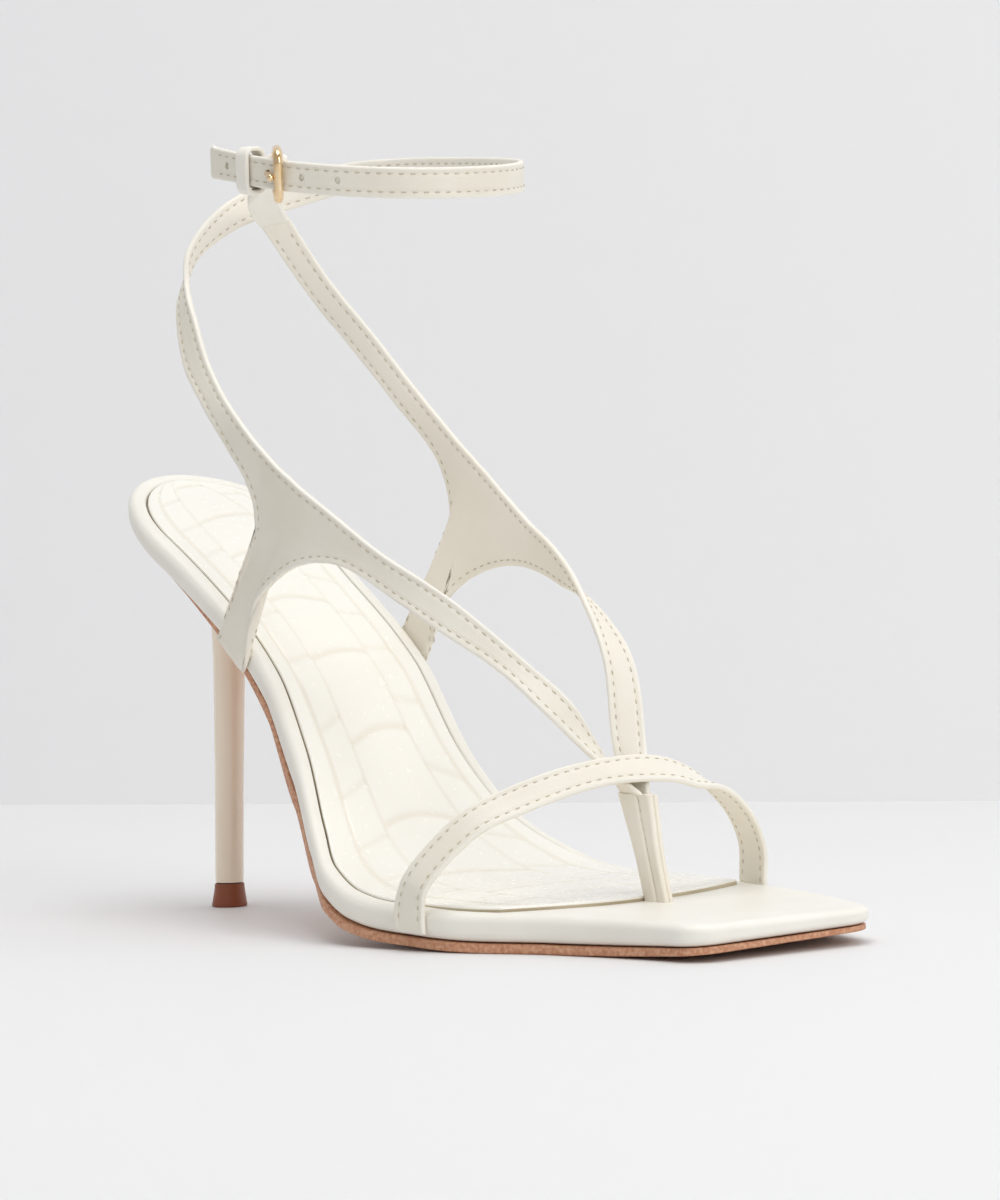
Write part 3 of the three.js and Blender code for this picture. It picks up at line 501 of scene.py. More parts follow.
def linear(colour):
    """An sRGB hex colour such as e9e5d8 as linear red, green, blue and alpha."""
    s = np.array([int(colour[i : i + 2], 16) for i in (0, 2, 4)]) / 255
    return (*np.where(s <= 0.04045, s / 12.92, ((s + 0.055) / 1.055) ** 2.4).tolist(), 1)


def add(tree, kind, inputs=None, **settings):
    """Adds a node, sets its settings, and fills or links its inputs."""
    node = tree.nodes.new(kind)
    for name, value in settings.items():
        setattr(node, name, value)
    for name, value in (inputs or {}).items():
        if isinstance(value, bpy.types.NodeSocket):
            tree.links.new(value, node.inputs[name])
        else:
            node.inputs[name].default_value = value
    return node


def blank(name):
    material = bpy.data.materials.new(name)
    material.use_nodes = True
    tree = material.node_tree
    shader = next(n for n in tree.nodes if n.type == "BSDF_PRINCIPLED")
    place = add(tree, "ShaderNodeTexCoord").outputs["Object"]
    return material, tree, shader, place


def per_mm(size):
    """Texture scale on Object coordinates, in metres, for a feature of this many mm."""
    return 1 / (size * MM)


def finished(parts, base, layers, height, strength, depth, rough, constants):
    """Gives a blank material its colour, its bump, depth mm high, and its roughness. A
    layer over the base colour is the value that steers it, that value's range, how strong
    the layer is at the range's ends, and its colour. rough is a texture and the roughness
    where the texture is 0.3 and 0.7, or None where constants sets it."""
    material, tree, shader, _ = parts
    tone = linear(base)
    for value, low, high, at_low, at_high, colour in layers:
        ends = {"From Min": low, "From Max": high, "To Min": at_low, "To Max": at_high}
        share = add(tree, "ShaderNodeMapRange", {"Value": value, **ends}).outputs["Result"]
        inputs = {0: share, 6: tone, 7: linear(colour)}
        tone = add(tree, "ShaderNodeMix", inputs, data_type="RGBA").outputs[2]
    tree.links.new(tone, shader.inputs["Base Color"])
    if rough:
        ends = {"From Min": 0.3, "From Max": 0.7, "To Min": rough[1], "To Max": rough[2]}
        spread = add(tree, "ShaderNodeMapRange", {"Value": rough[0], **ends})
        tree.links.new(spread.outputs["Result"], shader.inputs["Roughness"])
    inputs = {"Height": height, "Strength": strength, "Distance": depth * MM}
    tree.links.new(add(tree, "ShaderNodeBump", inputs).outputs[0], shader.inputs["Normal"])
    for name, value in constants.items():
        shader.inputs[name].default_value = value
    return material


def grained_leather(name, light, shade, gloss, grain, depth, edge_tone=None, paler_up=None):
    """Leather with a pigment finish. Its grain is small cells, so it gets a soft sheen
    broken by fine pebbling, and its tone drifts a little from place to place."""
    parts = _, tree, _, place = blank(name)
    drift = add(tree, "ShaderNodeTexNoise", {"Vector": place, "Scale": per_mm(22), "Detail": 3.0})
    layers = [(drift.outputs["Fac"], 0.35, 0.65, 0, 1, light)]
    # Higher up the tone turns paler, growing between the two heights given at the top; this is a
    # change with height only.
    if paler_up:
        high = add(tree, "ShaderNodeSeparateXYZ", {"Vector": place}).outputs["Z"]
        layers.append((high, PALER_FROM * MM, PALER_TO * MM, 0, 1, paler_up))
    if edge_tone:
        near = add(tree, "ShaderNodeAttribute", attribute_name="edge").outputs["Fac"]
        layers.append((near, 0.1, 0.75, 1, 0, edge_tone))
    cells = add(tree, "ShaderNodeTexVoronoi", {"Vector": place, "Scale": per_mm(grain)})
    inputs = {"Vector": place, "Scale": per_mm(grain * 0.6), "Detail": 2.0}
    fine = add(tree, "ShaderNodeTexNoise", inputs)
    inputs = {0: cells.outputs["Distance"], 1: fine.outputs["Fac"]}
    both = add(tree, "ShaderNodeMath", inputs, operation="ADD").outputs[0]
    rough = (fine.outputs["Fac"], gloss - 0.05, gloss + 0.07)
    return finished(parts, shade, layers, both, 0.5, depth, rough, {"IOR": 1.48})


# Smooth calf leather with an ivory pigment finish: silky, with grain cells of about half
# a millimetre, and a paler, rolled edge.
IVORY = grained_leather("ivory_pigmented_calf", "ebe6d9", "e6e0d1", 0.42, 0.55, 0.05, "f2eee4")
# The same leather pulled tight over the rim, where the grain is flattened.
RIM_LEATHER = grained_leather("ivory_calf_stretched", "f0ede4", "ece8de", 0.36, 0.7, 0.025)
# Drum-dyed lining leather: matt and warmer, with a fine suede nap, and paler high up.
LINING = grained_leather("beige_lining_leather", "f3ede0", "ece4d4", 0.6, 0.4, 0.04, None, "efeade")
# Cut edge of leather board: fibrous and unfinished.
RAW_EDGE = grained_leather("raw_leather_edge", "cfc3a8", "b3a588", 0.8, 0.35, 0.12)


def embossed_gloss():
    """Embossed leather under a clear glaze: a sharp, nearly white reflection on each tile, and painted
    shade in the pressed lines, which turn a slightly deeper cream."""
    parts = _, tree, _, place = blank("glazed_embossed_leather")
    low = add(tree, "ShaderNodeAttribute", attribute_name="edge").outputs["Fac"]
    fine = add(tree, "ShaderNodeTexNoise", {"Vector": place, "Scale": per_mm(1.6), "Detail": 3.0})
    waves = add(tree, "ShaderNodeTexNoise", {"Vector": place, "Scale": per_mm(9), "Detail": 2.0})
    inputs = {0: fine.outputs["Fac"], 1: waves.outputs["Fac"]}
    both = add(tree, "ShaderNodeMath", inputs, operation="ADD").outputs[0]
    # ebe5d7 is painted shade: the colour turns to it where a place lies deep in a pressed line.
    layers, rough = [(low, 0, 1, 0, 1, "ebe5d7")], (fine.outputs["Fac"], 0.2, 0.28)
    coat = {"Coat Weight": 0.35, "Coat Roughness": 0.12}
    return finished(parts, "f3f0e7", layers, both, 0.12, 0.05, rough, coat)


EMBOSSED = embossed_gloss()


def burnished_sole():
    """Vegetable-tanned sole leather with a burnished edge: brown, flecked by cut fibres
    about 0.4 mm across, drawn at 0.9 mm so that they show, with faint layers along it."""
    parts = _, tree, _, place = blank("burnished_sole_leather")
    flecks = add(tree, "ShaderNodeTexNoise", {"Vector": place, "Scale": per_mm(0.9), "Detail": 4.0})
    flecks = flecks.outputs["Fac"]
    squeeze = add(tree, "ShaderNodeMapping", {"Vector": place, "Scale": (0.12, 0.12, 1.0)})
    streaks = add(tree, "ShaderNodeTexNoise", {"Vector": squeeze.outputs[0], "Scale": per_mm(0.8)})
    layers = [
        (flecks, 0.36, 0.66, 0, 1, "daab89"),
        (streaks.outputs["Fac"], 0.45, 0.7, 0, 0.5, "b67d5b"),
    ]
    return finished(parts, "b87a58", layers, flecks, 0.5, 0.1, (flecks, 0.42, 0.6), {})


SOLE_LEATHER = burnished_sole()


def moulded(name, light, shade, gloss, wave, coat):
    """A moulded part: an even colour that drifts slightly, under a surface with a faint
    long wave, and a clear coat where there is one."""
    parts = _, tree, _, place = blank(name)
    drift = add(tree, "ShaderNodeTexNoise", {"Vector": place, "Scale": per_mm(14), "Detail": 2.0})
    dust = add(tree, "ShaderNodeTexNoise", {"Vector": place, "Scale": per_mm(wave), "Detail": 3.0})
    dust = dust.outputs["Fac"]
    layers = [(drift.outputs["Fac"], 0, 1, 0, 1, light)]
    gloss_range = (dust, gloss - 0.03, gloss + 0.05)
    coated = {"Coat Weight": coat, "Coat Roughness": 0.06}
    return finished(parts, shade, layers, dust, 0.25, 0.05, gloss_range, coated)


# Moulded ABS heel in ivory lacquer: glossy, with long clean reflections.
HEEL_LACQUER = moulded("ivory_lacquered_abs", "fdf1de", "f9e8d0", 0.2, 5, 0.6)
# Moulded polyurethane top lift: brown, with a satin skin.
TIP_RUBBER = moulded("brown_moulded_polyurethane", "95512f", "83452b", 0.4, 1.2, 0.0)


def polished_metal():
    """Zinc die casting with polished pale gold plating: mirror-like, with faint waves."""
    parts = _, tree, _, place = blank("polished_gold_plate")
    waves = add(tree, "ShaderNodeTexNoise", {"Vector": place, "Scale": per_mm(2.5), "Detail": 2.0})
    waves = waves.outputs["Fac"]
    layers = [(waves, 0, 1, 0, 1, "f6e3c2")]
    return finished(parts, "dcb57c", layers, waves, 0.2, 0.04, (waves, 0.06, 0.13), {"Metallic": 1})


GOLD = polished_metal()


def twisted_thread():
    """Bonded polyester thread: two plies twisted every 0.6 mm, satin, and darker than the
    leather because it lies in shade in its channel."""
    parts = _, tree, _, place = blank("bonded_polyester_thread")
    inputs = {"Vector": place, "Scale": per_mm(0.6) / 2.2, "Distortion": 1.5}
    ply = add(tree, "ShaderNodeTexWave", inputs).outputs["Fac"]
    layers = [(ply, 0, 1, 0, 1, "d2c9b5")]
    return finished(parts, "baaf98", layers, ply, 0.5, 0.06, None, {"Roughness": 0.55})


THREAD = twisted_thread()


# Sole ----------------------------------------------------------------------------------


def make_rim():
    """Leather wrapped round the edge of the platform. Each row of the surface runs from
    the middle of the insole's recess, up its wall, over the top, down round the edge by
    two quarter circles, and back along the underside."""
    halves = []
    outlines = {side: half_outline(side, 0, 170, 150) for side in (-1, 1)}
    shares = (outlines[-1][:170, 0] + HEEL_BACK) / (SPLIT + HEEL_BACK)
    inner = {side: half_insole(side, RECESS_CLEAR, shares, 150) for side in (-1, 1)}
    middle = (inner[-1] + inner[1]) / 2
    for side in (-1, 1):
        p, q = outlines[side], inner[side]
        into, away = inward(p, side), unit(p - q)
        columns = []

        def put(at, fall=0.0, face=rim_top):
            down = fall * upright(at[:, 0], 1)
            columns.append(np.column_stack([at, face(at[:, 0]) - down]))

        put(middle, INSOLE_THICK + CLEAR)
        put(q, INSOLE_THICK + CLEAR)
        put(q, 0.6)
        put(q + away * 0.12, 0.22)
        put(q + away * 0.45, 0)
        for share in np.linspace(0, 1, 15)[1:]:
            put((q + away * 0.45) * (1 - share) + (p + into * WRAP_ROUND) * share)
        for turn in np.radians(np.linspace(90, 0, 10)[1:]):
            put(p + into * WRAP_ROUND * (1 - np.cos(turn)), WRAP_ROUND * (1 - np.sin(turn)))
        for turn in np.radians(np.linspace(0, 90, 10)):
            fall = RIM_THICK + welt(p[:, 0]) - WRAP_ROUND * (1 - np.sin(turn))
            put(p + into * WRAP_ROUND * (1 - np.cos(turn)), fall)
        put(q, 0, rim_low)
        put(middle, 0, rim_low)
        halves.append(np.stack(columns, 1))
    points = toe_shape(both_halves(*halves))
    faces = grid_faces(*points.shape[:2], round_rows=True)
    return piece("rim_wrap", points, faces, [RIM_LEATHER], ["rim"], creases=60)


def emboss(x, share):
    """Height of the pressed pattern and how deep in a line each place is; the second also sets how
    much painted shade the lines get. In the middle column lines cross the insole every 15 mm, bowed
    and wandering. The columns beside it are crossed every 11 mm. Two lines run along at 0.42 of the
    half width and two at 0.78, and each tile between them swells like a cushion."""
    wander = 0.03 * np.sin(x / 17) + 0.015 * np.sin(x / 7.3 + 1)
    place = np.abs(share + wander)
    middle = place < 0.42
    bend = 1.8 * np.cos(share * 3.2) + 1.2 * np.sin(x / 23)
    along = (x - 3 + bend + 1.4 * np.sin(x / 9.7 + share * 2)) / np.where(middle, 15.0, 11.0)
    from_line = np.abs(along - np.round(along)) * np.where(middle, 15.0, 11.0)
    inside = np.clip((0.8 - place) / 0.04, 0, 1)
    crossing = np.exp(-((from_line / 0.6) ** 2)) * inside * np.where(middle, 1.0, 0.6)
    lines = 0.6 * np.exp(-(((place - 0.42) * 26 / 0.55) ** 2))
    lines = lines + np.exp(-(((place - 0.78) * 26 / 0.7) ** 2))
    deep = np.clip(crossing + lines, 0, 1)
    swell = 0.14 * np.clip(from_line / 5, 0, 1) ** 0.6 * inside
    return swell - 0.2 * deep, deep


def make_insole():
    """The padded sock. Each row runs from the middle of its underside, up its cut edge and
    over a rounded corner to the middle of its top, which carries the pressed pattern."""
    halves, deeps, steps = [], [], 96
    outline = half_outline(-1, INSOLE_INSET, 330, 20)[:330]
    shares = (outline[:, 0] + HEEL_BACK - INSOLE_INSET) / (SPLIT + HEEL_BACK - INSOLE_INSET)
    sides = {side: half_insole(side, 0, shares, 70) for side in (-1, 1)}
    middle = (sides[-1] + sides[1]) / 2
    for side in (-1, 1):
        q = sides[side]
        columns, deep = [], []

        def proud(x):
            """The sock stands a little above the rim, and most at its front edge."""
            return 0.12 + 1.0 * np.clip((x - 60) / 74, 0, 1) ** 2

        def put(share, fall, pressed=0.0, low=0.0):
            at = q + (middle - q) * share
            high = rim_top(at[:, 0]) + (proud(at[:, 0]) - fall + pressed) * upright(at[:, 0], 1)
            columns.append(np.column_stack([at, high]))
            deep.append(np.broadcast_to(low, len(at)))

        x, front = q[:, 0], INSOLE_SIDE_END * LENGTH - HEEL_BACK
        put(1, INSOLE_THICK + proud(x))
        put(0, INSOLE_THICK + proud(x))
        put(0, 0.55)
        width = np.maximum(np.linalg.norm(middle - q, axis=1), 0.6)
        for turn in np.radians([25, 50, 75]):
            share = np.minimum(0.5, 0.6 * (1 - np.cos(turn)) / width)[:, None]
            put(share, 0.55 * (1 - np.sin(turn)))
        for s in np.linspace(0, 1, steps) ** 1.05:
            start = np.minimum(0.5, 0.6 / width)
            share = start + (1 - start) * s
            high, low = emboss(x, side * (1 - share))
            calm = np.clip(share * width / 2, 0, 1) * np.clip((front + 8 - x) / 8, 0, 1)
            put(share[:, None], 0, high * calm, low * calm)
        halves.append(np.stack(columns, 1))
        deeps.append(np.stack(deep, 1))
    # edge holds how deep in a pressed line each place is, which steers the painted shade in the lines.
    points, edge = both_halves(*halves), both_halves(*deeps)
    faces = grid_faces(*points.shape[:2], round_rows=True)
    kinds = np.where(np.arange(len(faces)) % (points.shape[1] - 1) < 2, 1, 0)
    made = piece(
        "insole_sock", points, faces, [EMBOSSED, RAW_EDGE], ["insole"],
        kinds=kinds, creases=55, edge=edge.astype(np.float32),
    )
    return made


def make_outsole():
    """Sole leather, thinner and drawn in towards the heel. Its lower edge is rounded."""
    halves = []
    inset = {}
    for side in (-1, 1):
        p = half_outline(side, 0, 150, 130)
        pull = OUTSOLE_INSET + OUTSOLE_THICK * (1 - outsole_share(p[:, 0])) * 1.5
        inset[side] = (p + inward(p, side) * pull[:, None], inward(p, side))
    middle = (inset[-1][0] + inset[1][0]) / 2
    for side in (-1, 1):
        p, into = inset[side]
        thick = OUTSOLE_THICK * outsole_share(p[:, 0]) - welt(p[:, 0])
        columns = []

        def put(at, fall):
            columns.append(np.column_stack([at, outsole_high(at[:, 0]) - fall * upright(at[:, 0], 1)]))

        put(middle, 0)
        put(p + into * 0.3, 0)
        put(p + into * 0.05, 0.12)
        put(p, 0.35)
        for turn in np.radians([0, 30, 60, 90]):
            put(p + into * 0.6 * (1 - np.cos(turn)), thick - 0.45 * (1 - np.sin(turn)))
        put(p + into * 3, thick)
        put(middle, OUTSOLE_THICK * outsole_share(middle[:, 0]) - welt(middle[:, 0]))
        halves.append(np.stack(columns, 1))
    points = toe_shape(both_halves(*halves))
    faces = grid_faces(*points.shape[:2], round_rows=True)
    return piece(
        "outsole_leather", points, faces, [SOLE_LEATHER], ["outsole"], creases=60,
    )


def oval_rings(centre, back, front, side, height, around=56):
    """Rings: centre + cos a * (front or back) along X, sin a * side along Y, and a height
    that follows x."""
    turn = np.linspace(0, 2 * np.pi, around, endpoint=False)[None, :]
    c, s = np.cos(turn), np.sin(turn)
    x = centre[:, None] + c * np.where(c > 0, front[:, None], back[:, None])
    return np.stack([x, s * side[:, None], height(x)], -1)


def make_heel():
    """The slim heel: the section table, smoothed, on a line raked forward by HEEL_RAKE."""
    start = LIFT_HEIGHT + CLEAR
    up = np.concatenate([np.linspace(0, 0.75, 30), np.linspace(0.75, 1, 50)[1:]])
    back, front, side = (SHAFT_WIDTH * through(HEEL[:, 0], HEEL[:, c], up) for c in (1, 2, 3))
    centre = math.tan(math.radians(HEEL_RAKE)) * (start + up * (outsole_low(0.0) - start))
    rings = oval_rings(
        centre, back, front, side,
        lambda x: start + up[:, None] * (outsole_low(x) - CLEAR - start),
    )
    points, faces = capped(rings)
    return piece("heel_shaft", points, faces, [HEEL_LACQUER], ["heel"], creases=55)


def make_top_lift():
    """The heel tip: a short cone with small rounded edges."""
    up = np.array([0, 0.0, 0.03, 0.07, 0.2, 0.5, 0.8, 0.93, 0.98, 1.0])
    wide = LIFT_FLOOR_WIDTH + (LIFT_TOP_WIDTH - LIFT_FLOOR_WIDTH) * np.clip(up * 1.25, 0, 1) ** 0.8
    wide = wide - np.array([1.6, 0.8, 0.25, 0, 0, 0, 0, 0.05, 0.25, 0.7])
    z = up * LIFT_HEIGHT
    half = wide / 2
    centre = math.tan(math.radians(HEEL_RAKE)) * z
    rings = oval_rings(centre, half, half, half, lambda x: z[:, None] + 0 * x)
    points, faces = capped(rings)
    return piece("heel_tip_lift", points, faces, [TIP_RUBBER], ["top_lift"], creases=60)


# Straps --------------------------------------------------------------------------------


def to_point(x, y, z):
    """A place given in shares, in millimetres."""
    return np.array([x * LENGTH - HEEL_BACK, y * HALF_BALL, BASE + z * RISE])


def beside_rim(share, side, depth):
    """The strap's middle layer beside the rim, some way down the rim's side."""
    x = np.array(share * LENGTH - HEEL_BACK)
    y = side * (half_width(x, side) + CLEAR + STRAP_THICK / 2)
    return np.array([x, y, rim_top(x) - upright(x, RIM_THICK * depth)])


def seat_row(side, depth):
    """A row of the toe strap beside the rim, some way down the rim's side."""
    high, low = (beside_rim(share, side, depth) for share in TOE_SEATS[side])
    return [high], [low], [False]


def edge_rows(rows, side):
    """Upper and lower edge points of strap rows, and which rows are a tab's corners."""
    high = [to_point(*row[:3]) for row in rows]
    tab = [len(row) == 4 for row in rows]
    low = [
        beside_rim(row[3], side, SEAT_DEPTH) if seated else to_point(*row[3:])
        for row, seated in zip(rows, tab)
    ]
    return high, low, tab


def standing_rows(places, widths):
    """Rows that stand upright: each place, half a width up and half a width down."""
    lift = np.array([[0, 0, w / 2] for w in widths])
    return list(places + lift), list(places - lift), [False] * len(widths)


def end_rows(rows):
    places = np.array([to_point(*row[:3]) for row in rows])
    return standing_rows(places, [row[3] * STRAP_WIDTH for row in rows])


def ankle_rows():
    """The ankle loop: a squared ellipse, |cos|^p along X and |sin|^p along Y."""
    turn = np.radians(ANKLE_LOOP[:, 0])
    power = 2 / ANKLE_SQUARENESS
    c, s = np.cos(turn), np.sin(turn)
    reach = ANKLE_LENGTH * np.where(c < 0, ANKLE_BACK_SHARE, 1 - ANKLE_BACK_SHARE)
    x = ANKLE_CENTRE[0] * LENGTH - HEEL_BACK + reach * np.sign(c) * np.abs(c) ** power
    y = ANKLE_CENTRE[1] * HALF_BALL + ANKLE_WIDTH / 2 * np.sign(s) * np.abs(s) ** power
    places = np.column_stack([x, y, BASE + ANKLE_LOOP[:, 1] * RISE])
    return standing_rows(places, [STRAP_WIDTH] * len(turn))


def joined_rows(*groups):
    high, low, corner = (sum((list(g[i]) for g in groups), []) for i in range(3))
    return np.array(high), np.array(low), np.array(corner)


FINE = 10  # steps between two strap rows


class Strap:
    """A strap's middle surface. A point is upper edge + t (lower edge - upper edge) + a
    bulge of 4 t (1 - t) span^2 / (8 LAST_ROUND) outwards, where a span counts as
    BULGE_SPAN at most, and its normal is the sum of the normals of the quads round it."""

    def __init__(self, rows, side):
        high, low, corner = rows
        count = len(high)
        at = np.arange((count - 1) * FINE + 1) / FINE
        self.high = smooth_curve(high, at)
        self.low = np.zeros_like(self.high)
        self.stops = [0, *np.nonzero(corner)[0], count - 1]
        for start, end in zip(self.stops, self.stops[1:]):
            inside = (at >= start) & (at <= end)
            self.low[inside] = smooth_curve(low[start : end + 1], at[inside] - start)
        span = self.low - self.high
        wide = np.linalg.norm(span, axis=1)[:, None]
        near = np.array([0, 0.08, 0.22, 0.42, 0.7, 1.05, 1.3, 1.5, 1.7, 2.0, 2.4])[None, :] / wide
        near = near * np.minimum(1, 0.42 / near[:, -1:])
        far = near[:, -1:] + (1 - 2 * near[:, -1:]) * np.linspace(0, 1, 14)[None, 1:-1]
        t = np.concatenate([near, far, 1 - near[:, ::-1]], 1)[..., None]
        half = FINE // 2
        order = np.arange(len(at))
        gap = self.high[np.minimum(order + half, len(at) - 1)] - self.high[np.maximum(order - half, 0)]
        out = unit(np.cross(gap, span) * side)
        sag = (np.minimum(wide, BULGE_SPAN) ** 2 / (8 * LAST_ROUND))[..., None]
        self.grid = self.high[:, None] + span[:, None] * t + out[:, None] * sag * 4 * t * (1 - t)
        self.normal = self.normals(-side)

    def normals(self, way):
        g = self.grid
        facing = way * np.cross(g[1:, 1:] - g[:-1, :-1], g[:-1, 1:] - g[1:, :-1])
        n = np.zeros_like(g)
        for rows in (slice(0, -1), slice(1, None)):
            for columns in (slice(0, -1), slice(1, None)):
                n[rows, columns] += facing
        n = unit(n)
        for _ in range(6):
            n[1:-1] = n[:-2] + 2 * n[1:-1] + n[2:]
            n = unit(n)
        return n

    def border(self):
        lines = [self.high, self.low, spaced(self.grid[0], 60), spaced(self.grid[-1], 60)]
        return np.concatenate([spaced(line, 3 * len(line)) for line in lines])

    def from_border(self):
        """Distance of every point of the middle surface from the strap's border."""
        border = self.border()
        flat = self.grid.reshape(-1, 3)
        near = np.concatenate([
            np.linalg.norm(part[:, None] - border[None], axis=2).min(1)
            for part in np.array_split(flat, 40)
        ])
        near = near.reshape(self.grid.shape[:2])
        near[[0, -1]] = 0
        near[:, [0, -1]] = 0
        return near

    def walls(self):
        """Outer and inner wall. The edge is rolled over EDGE_ROLL, and the
        thread pulls a shallow channel STITCH_INSET inside it."""
        near = self.from_border()
        full = np.sqrt(1 - (1 - np.clip(near / EDGE_ROLL, 0, 1)) ** 2)
        channel = 0.13 * np.exp(-(((near - STITCH_INSET) / 0.42) ** 2))
        high = (full * STRAP_THICK / 2 - channel)[..., None]
        self.near = near
        return self.grid + self.normal * high, self.grid - self.normal * high

    def seam(self, upper, first, last, face):
        """Places, directions and normals of stitches along one edge, between two rows."""
        rows = slice(int(first * FINE), int(last * FINE) + 1)
        edge = (self.high if upper else self.low)[rows]
        n = self.normal[rows, 0 if upper else -1]
        ahead = unit(np.gradient(edge, axis=0))
        into = unit(np.cross(n, ahead))
        middle = self.grid[rows, self.grid.shape[1] // 2]
        into *= np.sign(np.sum(into * (middle - edge), axis=1).sum())
        line = edge + into * STITCH_INSET
        run = lengths_along(line)
        count = int((run[-1] - 1.5) / STITCH_PITCH)
        at = 1.5 + STITCH_PITCH * np.arange(max(count, 0))
        spots = at_lengths(line, at)
        ahead = at_lengths(line, np.minimum(at + 0.8, run[-1]))
        way = unit(ahead - at_lengths(line, np.maximum(at - 0.8, 0)))
        flat, flat_n = self.grid.reshape(-1, 3), self.normal.reshape(-1, 3)
        nearest = np.array([np.linalg.norm(flat - s, axis=1).argmin() for s in spots])
        n = flat_n[nearest] * face
        lift = np.sum((flat[nearest] - spots) * n, axis=1, keepdims=True)
        return spots + n * (lift + STRAP_THICK / 2 - 0.1), way, n


def stitch_mesh(spots, way, n):
    """One short bent rod for each stitch: rings of six along it, sunk at both ends."""
    side = unit(np.cross(n, way))
    along = np.array([-0.5, -0.42, -0.15, 0.15, 0.42, 0.5]) * STITCH_LONG
    rise = np.array([-0.3, -0.08, 0.02, 0.02, -0.08, -0.3])
    wide = np.array([0.3, 0.85, 1, 1, 0.85, 0.3]) * THREAD_WIDTH / 2
    turn = np.linspace(0, 2 * np.pi, 6, endpoint=False)
    a = along[:, None] + 0 * turn
    b = wide[:, None] * np.cos(turn)
    c = rise[:, None] + wide[:, None] * np.sin(turn)
    points = (
        spots[:, None, None]
        + way[:, None, None] * a[..., None]
        + side[:, None, None] * b[..., None]
        + n[:, None, None] * c[..., None]
    )
    first = points[:, :1].mean(2, keepdims=True).repeat(6, 2)
    last = points[:, -1:].mean(2, keepdims=True).repeat(6, 2)
    points = np.concatenate([first, points, last], 1)
    quads = grid_faces(8, 6, round_columns=True)
    faces = quads[None] + (np.arange(len(spots)) * 48)[:, None, None]
    return points.reshape(-1, 3), faces.reshape(-1, 4)


def make_stitches(name, seams):
    spots, way, n = (np.concatenate([seam[i] for seam in seams]) for i in range(3))
    points, faces = stitch_mesh(spots, way, n)
    return piece(name, points, faces, [THREAD], creases=70)


def make_strap(name, strap, stands_for=()):
    points, faces, kinds = shell(*strap.walls())
    edge = np.concatenate([strap.near.ravel(), strap.near.ravel()]).astype(np.float32)
    return piece(
        name, points, faces, [IVORY, LINING], stands_for,
        kinds=kinds, creases=75, edge=edge,
    )


def make_fold(name, strap):
    """The strap's end, folded back over its inner face and glued: a plain layer with
    rolled edges, FOLD_THICK proud of the strap."""
    rows = slice(int(FOLD_FROM * FINE), None)
    grid, normal = strap.grid[rows], strap.normal[rows]
    near = np.minimum(strap.near[rows], np.linalg.norm(grid - grid[:1], axis=2))
    near[-1] = 0
    full = np.sqrt(1 - (1 - np.clip(near / EDGE_ROLL, 0, 1)) ** 2)[..., None]
    under = grid - normal * 0.3
    proud = under - normal * full * (STRAP_THICK / 2 - 0.3 + FOLD_THICK)
    points, faces, _ = shell(under, proud)
    return piece(name, points, faces, [IVORY], creases=75)


# Buckle --------------------------------------------------------------------------------

FREE_AT = [to_point(*row[:3]) for row in FREE_END]
SLEEVE_INNER = BUCKLE_WIRE / 2 + CLEAR
SLEEVE_OUTER = SLEEVE_INNER + STRAP_THICK - 0.1
HINGE = FREE_AT[1] + np.array([-0.3, STRAP_THICK / 2 + CLEAR + SLEEVE_OUTER, 0.3])
FRONT_LEAP = STRAP_THICK / 2 + 2 * CLEAR + BUCKLE_WIRE / 2
TURNED = math.asin((HINGE[1] - FREE_AT[0][1] + FRONT_LEAP) / BUCKLE_LENGTH)
TILTED = Matrix.Rotation(math.radians(BUCKLE_TILT), 3, "Y")
BUCKLE_WAY = np.array(Matrix.Rotation(-TURNED, 3, "Z") @ TILTED)
EYE_HEIGHT = 2
EYE_OUTER = SLEEVE_INNER + 0.8


def in_buckle(points):
    """Points given from the hinge bar's middle, in millimetres of the sandal."""
    return np.asarray(points, float) @ BUCKLE_WAY.T + HINGE


def make_buckle():
    """A round wire bent to a rounded rectangle: straight runs and quarter circles of
    BUCKLE_CORNER, with rings that turn with the path."""
    u, w, turn = rounded(BUCKLE_LENGTH / 2, BUCKLE_HEIGHT / 2, BUCKLE_CORNER, 14)
    u = u + BUCKLE_LENGTH / 2
    a = np.linspace(0, 2 * np.pi, 28, endpoint=False)
    radius = WIRE_LOOK * BUCKLE_WIRE / 2
    out, aside = radius * np.cos(a), radius * np.sin(a)
    x = u[:, None] + out * np.cos(turn)[:, None]
    z = w[:, None] + out * np.sin(turn)[:, None]
    points = in_buckle(np.stack([x, np.broadcast_to(aside, x.shape), z], -1).reshape(-1, 3))
    faces = grid_faces(56, 28, round_rows=True, round_columns=True)
    return piece("buckle_frame", points, faces, [GOLD], ["buckle"], creases=60)


def tube(inner, outer, low, high, around=36):
    """A short tube round the hinge bar with rounded ends: a ring profile turned round."""
    round_off = 0.28 * (outer - inner)
    profile = np.array([
        [inner, low + round_off], [inner + round_off, low], [outer - round_off, low],
        [outer, low + round_off], [outer, high - round_off], [outer - round_off, high],
        [inner + round_off, high], [inner, high - round_off],
    ])
    turn = np.linspace(0, 2 * np.pi, around, endpoint=False)[:, None]
    x, y = profile[:, 0] * np.cos(turn), profile[:, 0] * np.sin(turn)
    z = np.broadcast_to(profile[:, 1], x.shape)
    return in_buckle(np.stack([x, y, z], -1).reshape(-1, 3)), grid_faces(around, 8, True, True)


PRONG_PATH = in_buckle([
    [0.5, -1.5, 0], [1.5, -2.15, 0], [3.4, -2.25, 0], [6, -2.05, 0],
    [BUCKLE_LENGTH + 0.9, -BUCKLE_WIRE / 2 - CLEAR - PRONG_WIRE / 2, 0],
])


